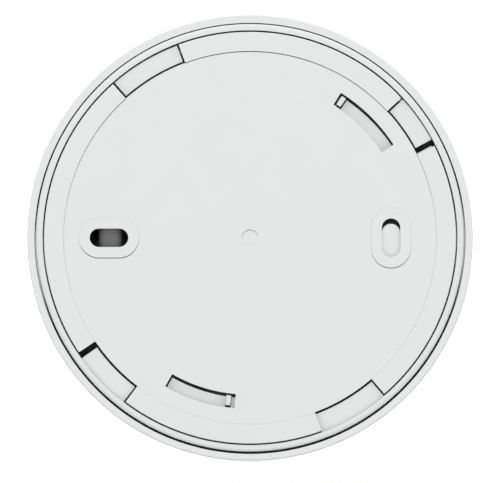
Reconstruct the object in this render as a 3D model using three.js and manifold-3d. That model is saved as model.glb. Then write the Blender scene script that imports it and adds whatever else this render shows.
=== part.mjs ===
// A round ceiling smoke alarm on its twist-lock mounting plate.
//
// Millimetres, +Z towards the ceiling. The origin is on the alarm's axis, in the plane of the faces that touch
// the ceiling, so the alarm hangs below Z = 0. Angles are degrees, anticlockwise as seen from the ceiling side.

import * as THREE from 'three';
import { mergeVertices } from 'three/addons/utils/BufferGeometryUtils.js';
import Module from 'manifold-3d';

const wasm = await Module();
wasm.setup();

// ---------------------------------------------------------------- driving dimensions

const GAP = 0.3; // running or assembly clearance between neighbours

const COVER = { radius: 47.5, wall: 1.7, lip: -1.3, face: -31, shoulder: 5 };
const DOME = { foot: 26, top: 24.9, low: -44, wall: 1.6, edge: 2.4, slots: 32, slotWidth: 2.7 };

const PLATE = { radius: 43.8, step: 39.7, stepDepth: 0.45, rim: 1.3, sheet: 1.5, skirtWall: 1.4, skirtLow: -4.8 };
const LEDGE = { outer: 43.5, top: -3.6 };
const STOP = { after: 0.25, angle: 1.6 }; // past the window's end, and how wide, in degrees
const ARC_SLOTS = [[33.0, 57.9], [240.3, 264.8]];
const ARC_SLOT = { inner: 33.4, outer: 36.4 };
const SCREW_SLOT = { spacing: 60, length: 8.2, width: 3.9, margin: 2.3, pocket: 1.5, seat: -1.2, bossLow: -2.4 };
const CENTRE_MARK = { radius: 1.75, depth: 0.15 };

const REAR = { radius: 45.5, inner: 44.1, rimTop: -0.5, floor: -5.3, sheet: 1.5 };
const LUG = { inner: 40.0, top: -1.6, low: -3.3 };
const PEG = { inner: 33.8, outer: 36.0, halfAngle: 0.9, top: -1.0, angles: [56.2, 262.4] };
const TRACK = { inner: 33.0, outer: 36.8, top: -2.4, spans: [[32.3, 78.5], [239.6, 285.5]] };
const PAD = { length: 13, width: 9, top: -3.5 };

// The four bayonet positions, as [start, end] angles with the alarm locked.
const LOCKS = [
  { window: [26.5, 42.7], lug: [28.4, 42.3], ledge: [28.4, 42.7] },
  { window: [110.3, 131.7], lug: [110.8, 131.2], ledge: [113.0, 131.7] },
  { window: [213.8, 232.8], lug: [215.6, 232.4], ledge: [216.0, 232.8] },
  { window: [290.4, 310.7], lug: [288.0, 310.3], ledge: [291.5, 310.7] },
];

const CELL = { radius: 8.5, length: 34.5, nub: 1.2, nubRadius: 3.4, sleeve: 0.2, x: -29.6, z: -15.5 };
const BAY = { wall: 1.2, west: -38.6, east: -20.6, south: -21.1, north: 18.1, low: -24.3, reach: 42.7 };
const CONTACT = { sheet: 0.4, width: 9, tailEast: -15.3, tailWidth: 2, tailTop: -17.2, tailLow: -19.6 };

const BOARD = { radius: 41.5, west: -19, top: -22, sheet: 1.6 };
const BOARD_POSTS = [[-13, 24], [20, 25], [17, -27]];
const BOARD_SCREW = { head: 1.9, headHeight: 1.4, shank: 0.95, length: 7.5, post: 2.75, pilot: 1.1 };

const COVER_SCREW = { ring: 39, angles: [75, 140, 236, 325], head: 2.75, headHeight: 1.9, shank: 1.3, length: 11 };
const COVER_BOSS = { radius: 3.1, pilot: 1.5, depth: 11, pocket: 3.2, pocketLow: -7.6, base: -9.3, rearRadius: 4.4 };

const CHAMBER = { radius: 18, baseSheet: 1.4, top: -23.8, low: -40.6, cap: 1.2, vanes: 20 };
const OPTICS = { z: -32.3, body: 2.45, bore: 2.7, blockWidth: 7.4, blockLow: -36.2, emitter: 215, receiver: 345 };
const SCREEN = { radius: 18.9, sheet: 0.4, windows: 20, windowWidth: 4.6 };

const SOUNDER = { x: 32, radius: 11.8, wall: 1, top: -24, low: -28.6, seat: -25.6 };
const GRILLE = { x: 33.6, pitch: 2.4, width: 1.3, lengths: [9, 12, 13, 12, 9] };

const BUTTON = { y: -34, radius: 6, wall: 1.2, low: -31.9, top: -26.6, flange: 1, stem: 1.8, stemTop: -28.2 };
const SWITCH = { side: 6, height: 3.5, plunger: 1.7, plungerLow: -27.9, plungerTop: -25.7 };
const LAMP = { y: 34, pipe: 1.4, low: -31, top: -25.2, collar: 2.2 };

const ROUND = 48; // facets round the covers
const MEDIUM = 24; // facets round chamber-sized pieces
const SMALL = 12; // facets round screws, pins and bores
const OVER = 1; // how far a cutter runs past the face it cuts

// ---------------------------------------------------------------- materials

const finish = (color, roughness, metalness = 0) =>
  new THREE.MeshStandardMaterial({ color, roughness, metalness, flatShading: true });

const FINISH = {
  plate: finish(0xe4e6e5, 0.55),
  casing: finish(0xe6e8e7, 0.5),
  frontCasing: finish(0xeceeed, 0.45),
  smokedBlack: finish(0x17181a, 0.6),
  sleeve: finish(0x1b1c1e, 0.25),
  steel: finish(0xb9bcc0, 0.3, 1),
  spring: finish(0xc9ccd0, 0.25, 1),
  board: finish(0x1f5b3a, 0.45),
  chip: finish(0x1c1c1f, 0.5),
  ferrite: finish(0x3a3b3d, 0.6),
  canAluminium: finish(0x9aa0aa, 0.35, 1),
  brass: finish(0xc9a24b, 0.3, 1),
  ceramic: finish(0xe9e2cf, 0.55),
  clear: finish(0xdfe6ea, 0.1),
  infrared: finish(0x2a2030, 0.15),
  redLamp: finish(0xd8d2c8, 0.2),
};

// ---------------------------------------------------------------- solid helpers

const radians = (degrees) => (degrees * Math.PI) / 180;
const polar = (radius, degrees) => [radius * Math.cos(radians(degrees)), radius * Math.sin(radians(degrees))];

/** Six times the volume inside an indexed mesh, negative when its faces point inwards. */
function signedVolume(position, triangles) {
  const a = new THREE.Vector3();
  const b = new THREE.Vector3();
  const c = new THREE.Vector3();
  let total = 0;
  for (let i = 0; i < triangles.length; i += 3) {
    a.fromArray(position, 3 * triangles[i]);
    b.fromArray(position, 3 * triangles[i + 1]);
    c.fromArray(position, 3 * triangles[i + 2]);
    total += a.dot(b.cross(c));
  }
  return total;
}

/** A closed geometry as a solid that can be joined and cut, with its faces pointing out. */
function solid(geometry) {
  geometry.deleteAttribute('normal');
  geometry.deleteAttribute('uv');
  const merged = mergeVertices(geometry);
  const vertProperties = new Float32Array(merged.attributes.position.array);
  const index = merged.index.array;
  const kept = [];
  for (let i = 0; i < index.length; i += 3) {
    const [a, b, c] = [index[i], index[i + 1], index[i + 2]];
    if (a !== b && b !== c && c !== a) kept.push(a, b, c);
  }
  if (signedVolume(vertProperties, kept) < 0) kept.reverse();
  return new wasm.Manifold(new wasm.Mesh({ numProp: 3, vertProperties, triVerts: new Uint32Array(kept) }));
}

/** A solid of revolution about Z from [radius, z] points: closed on itself unless it starts on the axis. */
function turned(profile, segments = ROUND) {
  const points = profile.map(([radius, z]) => new THREE.Vector2(radius, z));
  if (profile[0][0] > 0) points.push(points[0].clone());
  return solid(new THREE.LatheGeometry(points, segments).rotateX(Math.PI / 2));
}

/** A flat outline given depth between two heights. */
function prism(shape, low, high, curveSegments = SMALL / 2) {
  const settings = { depth: high - low, bevelEnabled: false, curveSegments };
  return solid(new THREE.ExtrudeGeometry(shape, settings).translate(0, 0, low));
}

function block(west, east, south, north, low, high) {
  const geometry = new THREE.BoxGeometry(east - west, north - south, high - low);
  return solid(geometry.translate((west + east) / 2, (south + north) / 2, (low + high) / 2));
}

function rod(radius, low, high, x = 0, y = 0, segments = SMALL) {
  const geometry = new THREE.CylinderGeometry(radius, radius, high - low, segments).rotateX(Math.PI / 2);
  return solid(geometry.translate(x, y, (low + high) / 2));
}

/** Part of a ring between two radii, two angles and two heights. */
function ringSector(inner, outer, [from, to], low, high) {
  const shape = new THREE.Shape();
  shape.absarc(0, 0, outer, radians(from), radians(to), false);
  shape.absarc(0, 0, inner, radians(to), radians(from), true);
  shape.closePath();
  return prism(shape, low, high, Math.max(1, Math.ceil((to - from) / 10)));
}

/** A straight slot outline with round ends, along X or along Y. */
function stadium(length, width, x, y, alongX) {
  const half = (length - width) / 2;
  const radius = width / 2;
  const shape = new THREE.Shape();
  if (alongX) {
    shape.absarc(x + half, y, radius, -Math.PI / 2, Math.PI / 2, false);
    shape.absarc(x - half, y, radius, Math.PI / 2, (3 * Math.PI) / 2, false);
  } else {
    shape.absarc(x, y + half, radius, 0, Math.PI, false);
    shape.absarc(x, y - half, radius, Math.PI, 2 * Math.PI, false);
  }
  shape.closePath();
  return shape;
}

const join = (first, ...others) => others.reduce((whole, piece) => whole.add(piece), first);
const cut = (first, ...others) => others.reduce((whole, piece) => whole.subtract(piece), first);

/** [radius, z] points on a quarter-circle or less, for a turned profile's rounded corner. */
function corner(radius, z, bend, from, to, steps) {
  const points = [];
  for (let i = 0; i <= steps; i += 1) {
    const angle = radians(from + ((to - from) * i) / steps);
    points.push([radius + bend * Math.cos(angle), z + bend * Math.sin(angle)]);
  }
  return points;
}

/** A named piece of the alarm from a finished solid. */
function piece(name, body, material) {
  const { vertProperties, triVerts } = body.getMesh();
  const geometry = new THREE.BufferGeometry();
  geometry.setAttribute('position', new THREE.BufferAttribute(new Float32Array(vertProperties), 3));
  geometry.setIndex(new THREE.BufferAttribute(new Uint32Array(triVerts), 1));
  geometry.computeVertexNormals();
  const mesh = new THREE.Mesh(geometry, material);
  mesh.name = name;
  return mesh;
}

const placed = (object, x, y, z = 0) => {
  object.position.set(x, y, z);
  return object;
};

// ---------------------------------------------------------------- mounting plate

/** The plate screwed to the ceiling: a sheet with a raised rim, a skirt and outward bayonet ledges. */
function mountingPlate() {
  const { radius, step, stepDepth, rim, sheet, skirtWall, skirtLow } = PLATE;
  const under = -stepDepth - sheet;
  let body = turned([
    [0, -stepDepth], [step, -stepDepth], [step, 0], [radius - 0.2, 0], [radius, -0.2], [radius, -rim],
    [step, -rim], [step, skirtLow], [step - skirtWall, skirtLow], [step - skirtWall, under], [0, under],
  ]);
  for (const { window, ledge } of LOCKS) {
    const stop = [ledge[1] + STOP.after, ledge[1] + STOP.angle];
    body = join(
      cut(body, ringSector(step - 0.1, radius + OVER, window, -rim - 0.1, OVER)),
      ringSector(step - skirtWall / 2, LEDGE.outer, [ledge[0], stop[0] + 0.5], skirtLow, LEDGE.top),
      ringSector(step - skirtWall / 3, LEDGE.outer - 0.1, stop, skirtLow + 0.1, -rim / 2),
    );
  }
  for (const span of ARC_SLOTS) {
    body = cut(body, ringSector(ARC_SLOT.inner, ARC_SLOT.outer, span, under - OVER, OVER));
  }
  return cut(screwSlots(stiffened(body, under)), rod(CENTRE_MARK.radius, -stepDepth - CENTRE_MARK.depth, OVER));
}

/** Radial ribs and a ring rib on the plate's room side, between the screw bosses. */
function stiffened(body, under) {
  const rib = { inner: 7, outer: 31, width: 1.2, low: under - 1 };
  const armWidth = 1;
  let stiff = join(body, cut(
    rod(rib.inner + rib.width, rib.low, under + 0.5, 0, 0, MEDIUM),
    rod(rib.inner, rib.low - OVER, under, 0, 0, MEDIUM),
  ));
  for (let angle = 30; angle < 360; angle += 60) {
    const arm = new THREE.BoxGeometry(rib.outer - rib.inner, armWidth, under + 0.4 - rib.low);
    arm.translate((rib.outer + rib.inner + rib.width) / 2, 0, (rib.low + under + 0.6) / 2);
    arm.rotateZ(radians(angle));
    stiff = join(stiff, solid(arm));
  }
  return stiff;
}

/** Two raised bosses with slots for the ceiling screws, one along X and one along Y, pocketed for the heads. */
function screwSlots(body) {
  const { spacing, length, width, margin, pocket, seat, bossLow } = SCREW_SLOT;
  let slotted = body;
  for (const side of [-1, 1]) {
    const x = (side * spacing) / 2;
    const boss = stadium(length + 2 * margin, width + 2 * margin, x, 0, side < 0);
    slotted = join(slotted, prism(boss, bossLow, 0));
    const head = stadium(length + 2 * pocket, width + 2 * pocket, x, 0, side < 0);
    slotted = cut(slotted, prism(head, bossLow - OVER, seat));
    slotted = cut(slotted, prism(stadium(length, width, x, 0, side < 0), bossLow - OVER, OVER));
  }
  return slotted;
}

// ---------------------------------------------------------------- rear cover

/** The alarm's back shell: a dish with a rounded rim, lugs, pegs on raised tracks, the cell's bay and posts. */
function rearCover() {
  const { radius, inner, rimTop, floor, sheet } = REAR;
  const bend = (radius - inner) / 2;
  const under = floor - sheet;
  let body = turned([
    [0, floor], [inner, floor],
    ...corner(inner + bend, rimTop - bend, bend, 180, 0, 4),
    [radius, under], [0, under],
  ]);
  for (const { lug } of LOCKS) {
    body = join(body, ringSector(LUG.inner, inner + bend, lug, LUG.low, LUG.top));
  }
  for (const span of TRACK.spans) {
    body = join(body, ringSector(TRACK.inner, TRACK.outer, span, floor - sheet / 2, TRACK.top));
  }
  const pad = stadium(PAD.length, PAD.width, SCREW_SLOT.spacing / 2, 0, false);
  body = join(body, prism(pad, floor - sheet / 2, PAD.top));
  for (const angle of PEG.angles) {
    const span = [angle - PEG.halfAngle, angle + PEG.halfAngle];
    body = join(body, ringSector(PEG.inner, PEG.outer, span, floor - sheet / 2, PEG.top));
  }
  for (const angle of COVER_SCREW.angles) {
    const [x, y] = polar(COVER_SCREW.ring, angle);
    body = join(body, rod(COVER_BOSS.rearRadius, COVER_BOSS.base, floor - sheet / 2, x, y));
    body = cut(body, rod(COVER_BOSS.pocket, COVER_BOSS.pocketLow, OVER, x, y));
    body = cut(body, rod(COVER_SCREW.shank + 0.4, COVER_BOSS.base - OVER, floor, x, y));
  }
  return boardPosts(cellBay(body));
}

/** The cell's open-backed trough, with a window in its east wall for each contact's tail. */
function cellBay(body) {
  const { wall, west, east, south, north, low, reach } = BAY;
  const outside = block(west - wall, east + wall, south - wall, north + wall, low - wall, REAR.floor - 0.1);
  const inside = block(west, east, south, north, low, OVER);
  const round = (extra) => rod(reach + extra, low - wall - OVER, 2 * OVER, 0, 0, ROUND);
  let bay = cut(join(body, outside.intersect(round(wall))), inside.intersect(round(0)));
  for (const y of [positiveContactY(), negativeContactY()]) {
    const window = block(east - OVER, east + wall + OVER, y - GAP, y + CONTACT.sheet + GAP,
      CONTACT.tailLow - GAP, CONTACT.tailTop + GAP);
    bay = cut(bay, window);
  }
  return bay;
}

/** Posts under the floor that the circuit board is screwed to. */
function boardPosts(body) {
  const low = BOARD.top + 0.1;
  let posted = body;
  for (const [x, y] of BOARD_POSTS) {
    posted = join(posted, rod(BOARD_SCREW.post, low, REAR.floor - REAR.sheet / 2, x, y));
    posted = cut(posted, rod(BOARD_SCREW.pilot, low - OVER, low + BOARD_SCREW.length, x, y));
  }
  return posted;
}

// ---------------------------------------------------------------- front cover

/** The room-side shell: skirt, rounded shoulder and a slotted dome over the smoke chamber. */
function frontCover() {
  const { radius, wall, lip, face, shoulder } = COVER;
  const bendCentre = radius - shoulder;
  const insideFace = face + wall;
  const domeInside = DOME.low + DOME.wall;
  let body = turned([
    [0, DOME.low],
    ...corner(DOME.top - DOME.edge, DOME.low + DOME.edge, DOME.edge, -90, 0, 3),
    [DOME.foot, face - 1.2], [DOME.foot + 1.5, face],
    ...corner(bendCentre, face + shoulder, shoulder, -90, 0, 4),
    [radius, lip - 0.3], [radius - 0.3, lip], [radius - wall + 0.3, lip], [radius - wall, lip - 0.3],
    ...corner(bendCentre, face + shoulder, shoulder - wall, 0, -90, 3),
    [DOME.foot + 1, insideFace], [DOME.foot - DOME.wall, face - 0.9],
    [DOME.top - DOME.wall, DOME.low + DOME.edge], [DOME.top - DOME.edge, domeInside], [0, domeInside],
  ]);
  for (let i = 0; i < DOME.slots; i += 1) body = cut(body, domeSlot((360 * i) / DOME.slots));
  const opening = rod(BUTTON.radius + GAP, face - OVER, insideFace + OVER, 0, BUTTON.y, MEDIUM);
  const collarTop = insideFace + 1.7;
  body = cut(join(body, rod(BUTTON.radius + 1.6, face + 0.5, collarTop, 0, BUTTON.y, MEDIUM)), opening);
  body = cut(body, rod(BUTTON.radius + GAP, face - OVER, collarTop + OVER, 0, BUTTON.y, MEDIUM));
  body = cut(body, rod(LAMP.pipe + 0.2, face - OVER, insideFace + OVER, 0, LAMP.y));
  return coverBosses(sounderGrille(body));
}

/** The cutter for one upright smoke inlet in the dome's side. */
function domeSlot(angle) {
  const low = DOME.low + DOME.edge + 0.2;
  const high = COVER.face - 1.6;
  const depth = DOME.foot - DOME.top + 3.6;
  const cutter = new THREE.BoxGeometry(depth, DOME.slotWidth, high - low);
  cutter.translate(DOME.top - 2.3 + depth / 2, 0, (low + high) / 2).rotateZ(radians(angle));
  return solid(cutter);
}

/** Five slits in the face in front of the sounder. */
function sounderGrille(body) {
  let slit = body;
  GRILLE.lengths.forEach((length, i) => {
    const x = GRILLE.x + GRILLE.pitch * (i - (GRILLE.lengths.length - 1) / 2);
    const outline = stadium(length, GRILLE.width, x, 0, false);
    slit = cut(slit, prism(outline, COVER.face - OVER, COVER.face + COVER.wall + OVER, 3));
  });
  return slit;
}

/** Columns inside the face that take the four cover screws. */
function coverBosses(body) {
  const top = COVER_BOSS.base - 0.2;
  let whole = body;
  for (const angle of COVER_SCREW.angles) {
    const [x, y] = polar(COVER_SCREW.ring, angle);
    whole = join(whole, rod(COVER_BOSS.radius, COVER.face + COVER.wall / 2, top, x, y));
    whole = cut(whole, rod(COVER_BOSS.pilot, top - COVER_BOSS.depth, top + OVER, x, y));
  }
  return whole;
}

// ---------------------------------------------------------------- screws

/** A pan-head cross-recess screw with its seat at Z = 0, head up and shank down. */
function screw({ head, headHeight, shank, length }) {
  const body = turned([
    [0, headHeight], [head * 0.65, headHeight], [head, headHeight * 0.45],
    [head, 0], [shank, 0], [shank, 1 - length], [0, -length],
  ], 12);
  const arm = head * 0.5;
  const width = head * 0.12;
  const recessLow = headHeight * 0.45;
  return cut(
    body,
    block(-arm, arm, -width, width, recessLow, headHeight + OVER),
    block(-width, width, -arm, arm, recessLow, headHeight + OVER),
  );
}

function coverScrews() {
  return COVER_SCREW.angles.map((angle, i) => {
    const [x, y] = polar(COVER_SCREW.ring, angle);
    return placed(piece(`cover_screw_${i + 1}`, screw(COVER_SCREW), FINISH.steel), x, y, COVER_BOSS.pocketLow);
  });
}

/** The board screws go in from the room side, so each is turned head down. */
function boardScrews() {
  return BOARD_POSTS.map(([x, y], i) => {
    const mesh = piece(`board_screw_${i + 1}`, screw(BOARD_SCREW), FINISH.steel);
    mesh.rotation.x = Math.PI;
    return placed(mesh, x, y, BOARD.top - BOARD.sheet - 0.1);
  });
}

// ---------------------------------------------------------------- cell and contacts

const cellNorth = () => CELL.length / 2;
const positiveContactY = () => cellNorth() + 0.15;
const negativeContactY = () => BAY.south + 0.2;

/** The cell's steel can with its positive nub, along Y. */
function cellCan() {
  const radius = CELL.radius - CELL.sleeve - 0.1;
  const end = cellNorth();
  const body = turned([
    [0, -end], [radius - 0.8, -end], [radius, 0.8 - end], [radius, end - CELL.nub - 0.8],
    [radius - 0.8, end - CELL.nub], [CELL.nubRadius, end - CELL.nub], [CELL.nubRadius - 0.3, end], [0, end],
  ], MEDIUM);
  return turnedCell('cell_can', body, FINISH.steel);
}

/** The shrink sleeve round the can, open at both ends. */
function cellSleeve() {
  const inner = CELL.radius - CELL.sleeve;
  const low = 1 - cellNorth();
  const high = cellNorth() - CELL.nub - 1;
  const body = turned([[inner, low], [CELL.radius, low], [CELL.radius, high], [inner, high]], MEDIUM);
  return turnedCell('cell_sleeve', body, FINISH.sleeve);
}

/** A piece made along +Z and laid along +Y in the bay. */
function turnedCell(name, body, material) {
  const mesh = placed(piece(name, body, material), CELL.x, 0, CELL.z);
  mesh.rotation.x = -Math.PI / 2;
  return mesh;
}

/** One contact's outline in X and Z: a pad behind the cell, a tail through the bay wall and a foot in the board. */
function contactOutline() {
  const half = CONTACT.width / 2;
  const foot = CONTACT.tailEast - CONTACT.tailWidth;
  const pinLow = BOARD.top - BOARD.sheet - 0.6;
  const shape = new THREE.Shape();
  shape.moveTo(CELL.x - half, CELL.z - half);
  shape.lineTo(CELL.x + half, CELL.z - half);
  shape.lineTo(CELL.x + half, CONTACT.tailLow);
  shape.lineTo(foot, CONTACT.tailLow);
  shape.lineTo(foot, pinLow);
  shape.lineTo(CONTACT.tailEast, pinLow);
  shape.lineTo(CONTACT.tailEast, CONTACT.tailTop);
  shape.lineTo(CELL.x + half, CONTACT.tailTop);
  shape.lineTo(CELL.x + half, CELL.z + half);
  shape.lineTo(CELL.x - half, CELL.z + half);
  shape.closePath();
  return shape;
}

function contact(name, y) {
  const settings = { depth: CONTACT.sheet, bevelEnabled: false };
  const sheet = new THREE.ExtrudeGeometry(contactOutline(), settings).rotateX(Math.PI / 2);
  return placed(piece(name, solid(sheet), FINISH.steel), 0, y + CONTACT.sheet);
}

/** The conical coil spring that presses the cell against the positive contact. */
function cellSpring() {
  const wire = 0.35;
  const turns = 3.5;
  const base = negativeContactY() + CONTACT.sheet + wire + 0.1;
  const tip = -cellNorth() - wire - 0.1;
  class Coil extends THREE.Curve {
    getPoint(t, target = new THREE.Vector3()) {
      const angle = 2 * Math.PI * turns * t;
      const radius = 4 - 1.9 * t;
      return target.set(radius * Math.cos(angle), base + (tip - base) * t, radius * Math.sin(angle));
    }
  }
  const section = new THREE.Shape();
  section.absarc(0, 0, wire, 0, 2 * Math.PI, false);
  const settings = { steps: 52, curveSegments: 3, extrudePath: new Coil(), bevelEnabled: false };
  const body = solid(new THREE.ExtrudeGeometry(section, settings));
  return placed(piece('cell_spring', body, FINISH.spring), CELL.x, 0, CELL.z);
}

// ---------------------------------------------------------------- circuit board

/** The board: a disc with its west side cut straight beside the cell's bay. */
function board() {
  const { radius, west, top, sheet } = BOARD;
  const low = top - sheet;
  const bend = Math.acos(west / radius);
  const shape = new THREE.Shape();
  shape.absarc(0, 0, radius, -bend, bend, false);
  shape.closePath();
  let body = prism(shape, low, top, ROUND / 3);
  for (const [x, y] of BOARD_POSTS) {
    body = cut(body, rod(BOARD_SCREW.shank + 0.25, low - OVER, top + OVER, x, y));
  }
  for (const angle of COVER_SCREW.angles) {
    const [x, y] = polar(COVER_SCREW.ring, angle);
    body = cut(body, rod(COVER_BOSS.radius + 0.5, low - OVER, top + OVER, x, y));
  }
  for (const y of [positiveContactY(), negativeContactY()]) {
    const footWest = CONTACT.tailEast - CONTACT.tailWidth;
    body = cut(body, block(footWest - GAP, CONTACT.tailEast + GAP, y - GAP, y + CONTACT.sheet + GAP,
      low - OVER, top + OVER));
  }
  for (const angle of [OPTICS.emitter, OPTICS.receiver]) {
    for (const side of [-1, 1]) {
      const [x, y] = legPlace(angle, side);
      body = cut(body, rod(0.6, low - OVER, top + OVER, x, y, 12));
    }
  }
  return piece('circuit_board', body, FINISH.board);
}

/** A gull-wing chip with eight legs a side, on the board's ceiling side. */
function microcontroller() {
  const seat = BOARD.top + 0.1;
  let body = block(-5, 5, -2, 2, seat + 0.15, seat + 1.6);
  for (let i = 0; i < 8; i += 1) {
    const x = -4.45 + 1.27 * i;
    body = join(body, block(x - 0.2, x + 0.2, -3.1, 3.1, seat, seat + 0.35));
  }
  return placed(piece('microcontroller', body, FINISH.chip), 6, 12);
}

/** The drum inductor that steps the cell's voltage up for the sounder. */
function boostInductor() {
  const seat = BOARD.top + 0.1;
  const body = turned([
    [0, seat], [4.5, seat], [4.5, seat + 1], [3.2, seat + 1.4], [3.2, seat + 4.1], [4.5, seat + 4.5],
    [4.5, seat + 5.5], [0, seat + 5.5],
  ], MEDIUM);
  return placed(piece('boost_inductor', body, FINISH.ferrite), -8, 7);
}

/** The storage capacitor, standing on the board. */
function storageCapacitor() {
  const seat = BOARD.top + 0.1;
  const top = seat + 11;
  const body = turned([
    [0, seat], [3.7, seat], [4, seat + 0.3], [4, seat + 1.6], [3.6, seat + 2], [4, seat + 2.4],
    [4, top - 0.4], [3.6, top], [0, top],
  ], MEDIUM);
  return placed(piece('storage_capacitor', body, FINISH.canAluminium), 9, -14);
}

/** The indicator lamp on the board's room side. */
function statusLamp() {
  const seat = BOARD.top - BOARD.sheet - 0.1;
  const body = join(
    block(-1.6, 1.6, -0.8, 0.8, seat - 0.6, seat),
    turned([[0, seat - 1.2], [0.5, seat - 1.05], [0.7, seat - 0.5], [0, seat - 0.5]], SMALL),
  );
  return placed(piece('status_lamp', body, FINISH.redLamp), 0, LAMP.y);
}

/** The clear pipe that carries the lamp's light to the face. */
function lightPipe() {
  const { pipe, low, top, collar } = LAMP;
  const seat = COVER.face + COVER.wall + 0.2;
  const body = turned([
    [0, low], [pipe - 0.4, low], [pipe, low + 0.3], [pipe, seat], [collar, seat], [collar, seat + 0.9],
    [pipe, seat + 0.9], [pipe, top], [0, top],
  ], SMALL);
  return placed(piece('light_pipe', body, FINISH.clear), 0, LAMP.y);
}

// ---------------------------------------------------------------- test button and switch

/** The push button: a cup whose stem reaches the switch and whose flange keeps it in the cover. */
function testButton() {
  const { radius, wall, low, top, flange, stem, stemTop } = BUTTON;
  const cupFloor = low + 1.6;
  const body = turned([
    [0, low], [radius - 1.6, low], [radius - 0.5, low + 0.25], [radius, low + 0.9], [radius, top - 0.7],
    [radius + flange, top - 0.7], [radius + flange, top], [radius - wall, top], [radius - wall, cupFloor],
    [stem, cupFloor], [stem, stemTop], [0, stemTop],
  ], MEDIUM);
  return placed(piece('test_button', body, FINISH.frontCasing), 0, BUTTON.y);
}

/** The square body of the push switch, with the well that its plunger slides in. */
function switchBody() {
  const seat = BOARD.top - BOARD.sheet - 0.1;
  const half = SWITCH.side / 2;
  const body = cut(
    block(-half, half, -half, half, seat - SWITCH.height, seat),
    rod(SWITCH.plunger + 0.15, seat - SWITCH.height - OVER, SWITCH.plungerTop + 0.7),
  );
  return placed(piece('switch_body', body, FINISH.chip), 0, BUTTON.y);
}

function switchPlunger() {
  const body = turned([
    [0, SWITCH.plungerLow], [SWITCH.plunger - 0.3, SWITCH.plungerLow], [SWITCH.plunger, SWITCH.plungerLow + 0.3],
    [SWITCH.plunger, SWITCH.plungerTop], [0, SWITCH.plungerTop],
  ], SMALL);
  return placed(piece('switch_plunger', body, FINISH.smokedBlack), 0, BUTTON.y);
}

// ---------------------------------------------------------------- smoke chamber

const OPTIC_BACK = 12.6; // distance from the chamber's axis to the back of each optic
const OPTIC_LEG = 13.2; // distance from the chamber's axis to the legs
const LEG_HALF = 0.25;
const LEG_SPREAD = 1.27;

/** Where one leg of an optic goes through the board. */
function legPlace(angle, side) {
  const turn = radians(angle);
  return [
    OPTIC_LEG * Math.cos(turn) - side * LEG_SPREAD * Math.sin(turn),
    OPTIC_LEG * Math.sin(turn) + side * LEG_SPREAD * Math.cos(turn),
  ];
}

/** A cylinder lying along +X at the optics' height, turned to an angle about Z. */
function radialRod(radius, from, to, angle) {
  const geometry = new THREE.CylinderGeometry(radius, radius, to - from, SMALL).rotateZ(Math.PI / 2);
  return solid(geometry.translate((from + to) / 2, 0, OPTICS.z).rotateZ(radians(angle)));
}

function radialBlock(west, east, halfWidth, low, high, angle) {
  const geometry = new THREE.BoxGeometry(east - west, 2 * halfWidth, high - low);
  return solid(geometry.translate((west + east) / 2, 0, (low + high) / 2).rotateZ(radians(angle)));
}

/** The chamber's floor against the board, with a bored block for each optic. */
function chamberBase() {
  const { radius, baseSheet, top } = CHAMBER;
  const floor = top - baseSheet;
  let body = rod(radius - 0.1, floor, top, 0, 0, MEDIUM);
  for (const angle of [OPTICS.emitter, OPTICS.receiver]) {
    const half = OPTICS.blockWidth / 2;
    body = join(body, radialBlock(4.6, 13, half, OPTICS.blockLow, floor + baseSheet / 2, angle));
    body = cut(
      body,
      radialRod(OPTICS.bore, 6, 14, angle),
      radialRod(1.4, 4, 7, angle),
      radialBlock(12, 14, 2, OPTICS.z, top + OVER, angle),
    );
  }
  return piece('chamber_base', body, FINISH.smokedBlack);
}

/** The chamber's room-side cap with a ring of bent vanes that let smoke in and keep light out. */
function chamberLabyrinth() {
  const { low, cap, vanes, top, baseSheet } = CHAMBER;
  const inside = low + cap;
  let body = rod(CHAMBER.radius, low, inside, 0, 0, MEDIUM);
  const vane = new THREE.Shape();
  vane.moveTo(17.6, -1.5);
  vane.lineTo(16, 0.9);
  vane.lineTo(14.1, -0.9);
  vane.lineTo(14.1, -2.0);
  vane.lineTo(15.9, -0.5);
  vane.lineTo(16.8, -1.9);
  vane.closePath();
  const height = top - baseSheet - GAP - inside + 0.4;
  for (let i = 0; i < vanes; i += 1) {
    const standing = new THREE.ExtrudeGeometry(vane, { depth: height, bevelEnabled: false });
    standing.translate(0, 0, inside - 0.4).rotateZ((2 * Math.PI * i) / vanes);
    body = join(body, solid(standing));
  }
  return piece('chamber_labyrinth', body, FINISH.smokedBlack);
}

/** A round 5 mm optic lying in its block, lens inwards, with two legs up through the board. */
function optic(name, angle, material) {
  const lens = 6.6;
  const back = OPTIC_BACK;
  const profile = [
    [0, -back], [OPTICS.body, -back], [OPTICS.body, -lens - 1.4], [OPTICS.body * 0.8, -lens - 0.5],
    [OPTICS.body * 0.4, -lens - 0.1], [0, -lens],
  ];
  const points = profile.map(([radius, x]) => new THREE.Vector2(radius, x));
  const lamp = new THREE.LatheGeometry(points, SMALL).rotateZ(Math.PI / 2).translate(0, 0, OPTICS.z);
  let body = solid(lamp.rotateZ(radians(angle)));
  for (const side of [-1, 1]) {
    const near = side * LEG_SPREAD - LEG_HALF;
    const across = new THREE.BoxGeometry(OPTIC_LEG - back + 0.4, 1.6 * LEG_HALF, 1.6 * LEG_HALF);
    across.translate((OPTIC_LEG + back - 0.4) / 2, near + LEG_HALF, OPTICS.z + LEG_HALF);
    const up = new THREE.BoxGeometry(2 * LEG_HALF, 2 * LEG_HALF, BOARD.top + 0.7 - OPTICS.z);
    up.translate(OPTIC_LEG, near + LEG_HALF, (OPTICS.z + BOARD.top + 0.7) / 2);
    body = join(body, solid(across.rotateZ(radians(angle))), solid(up.rotateZ(radians(angle))));
  }
  return piece(name, body, material);
}

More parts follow.
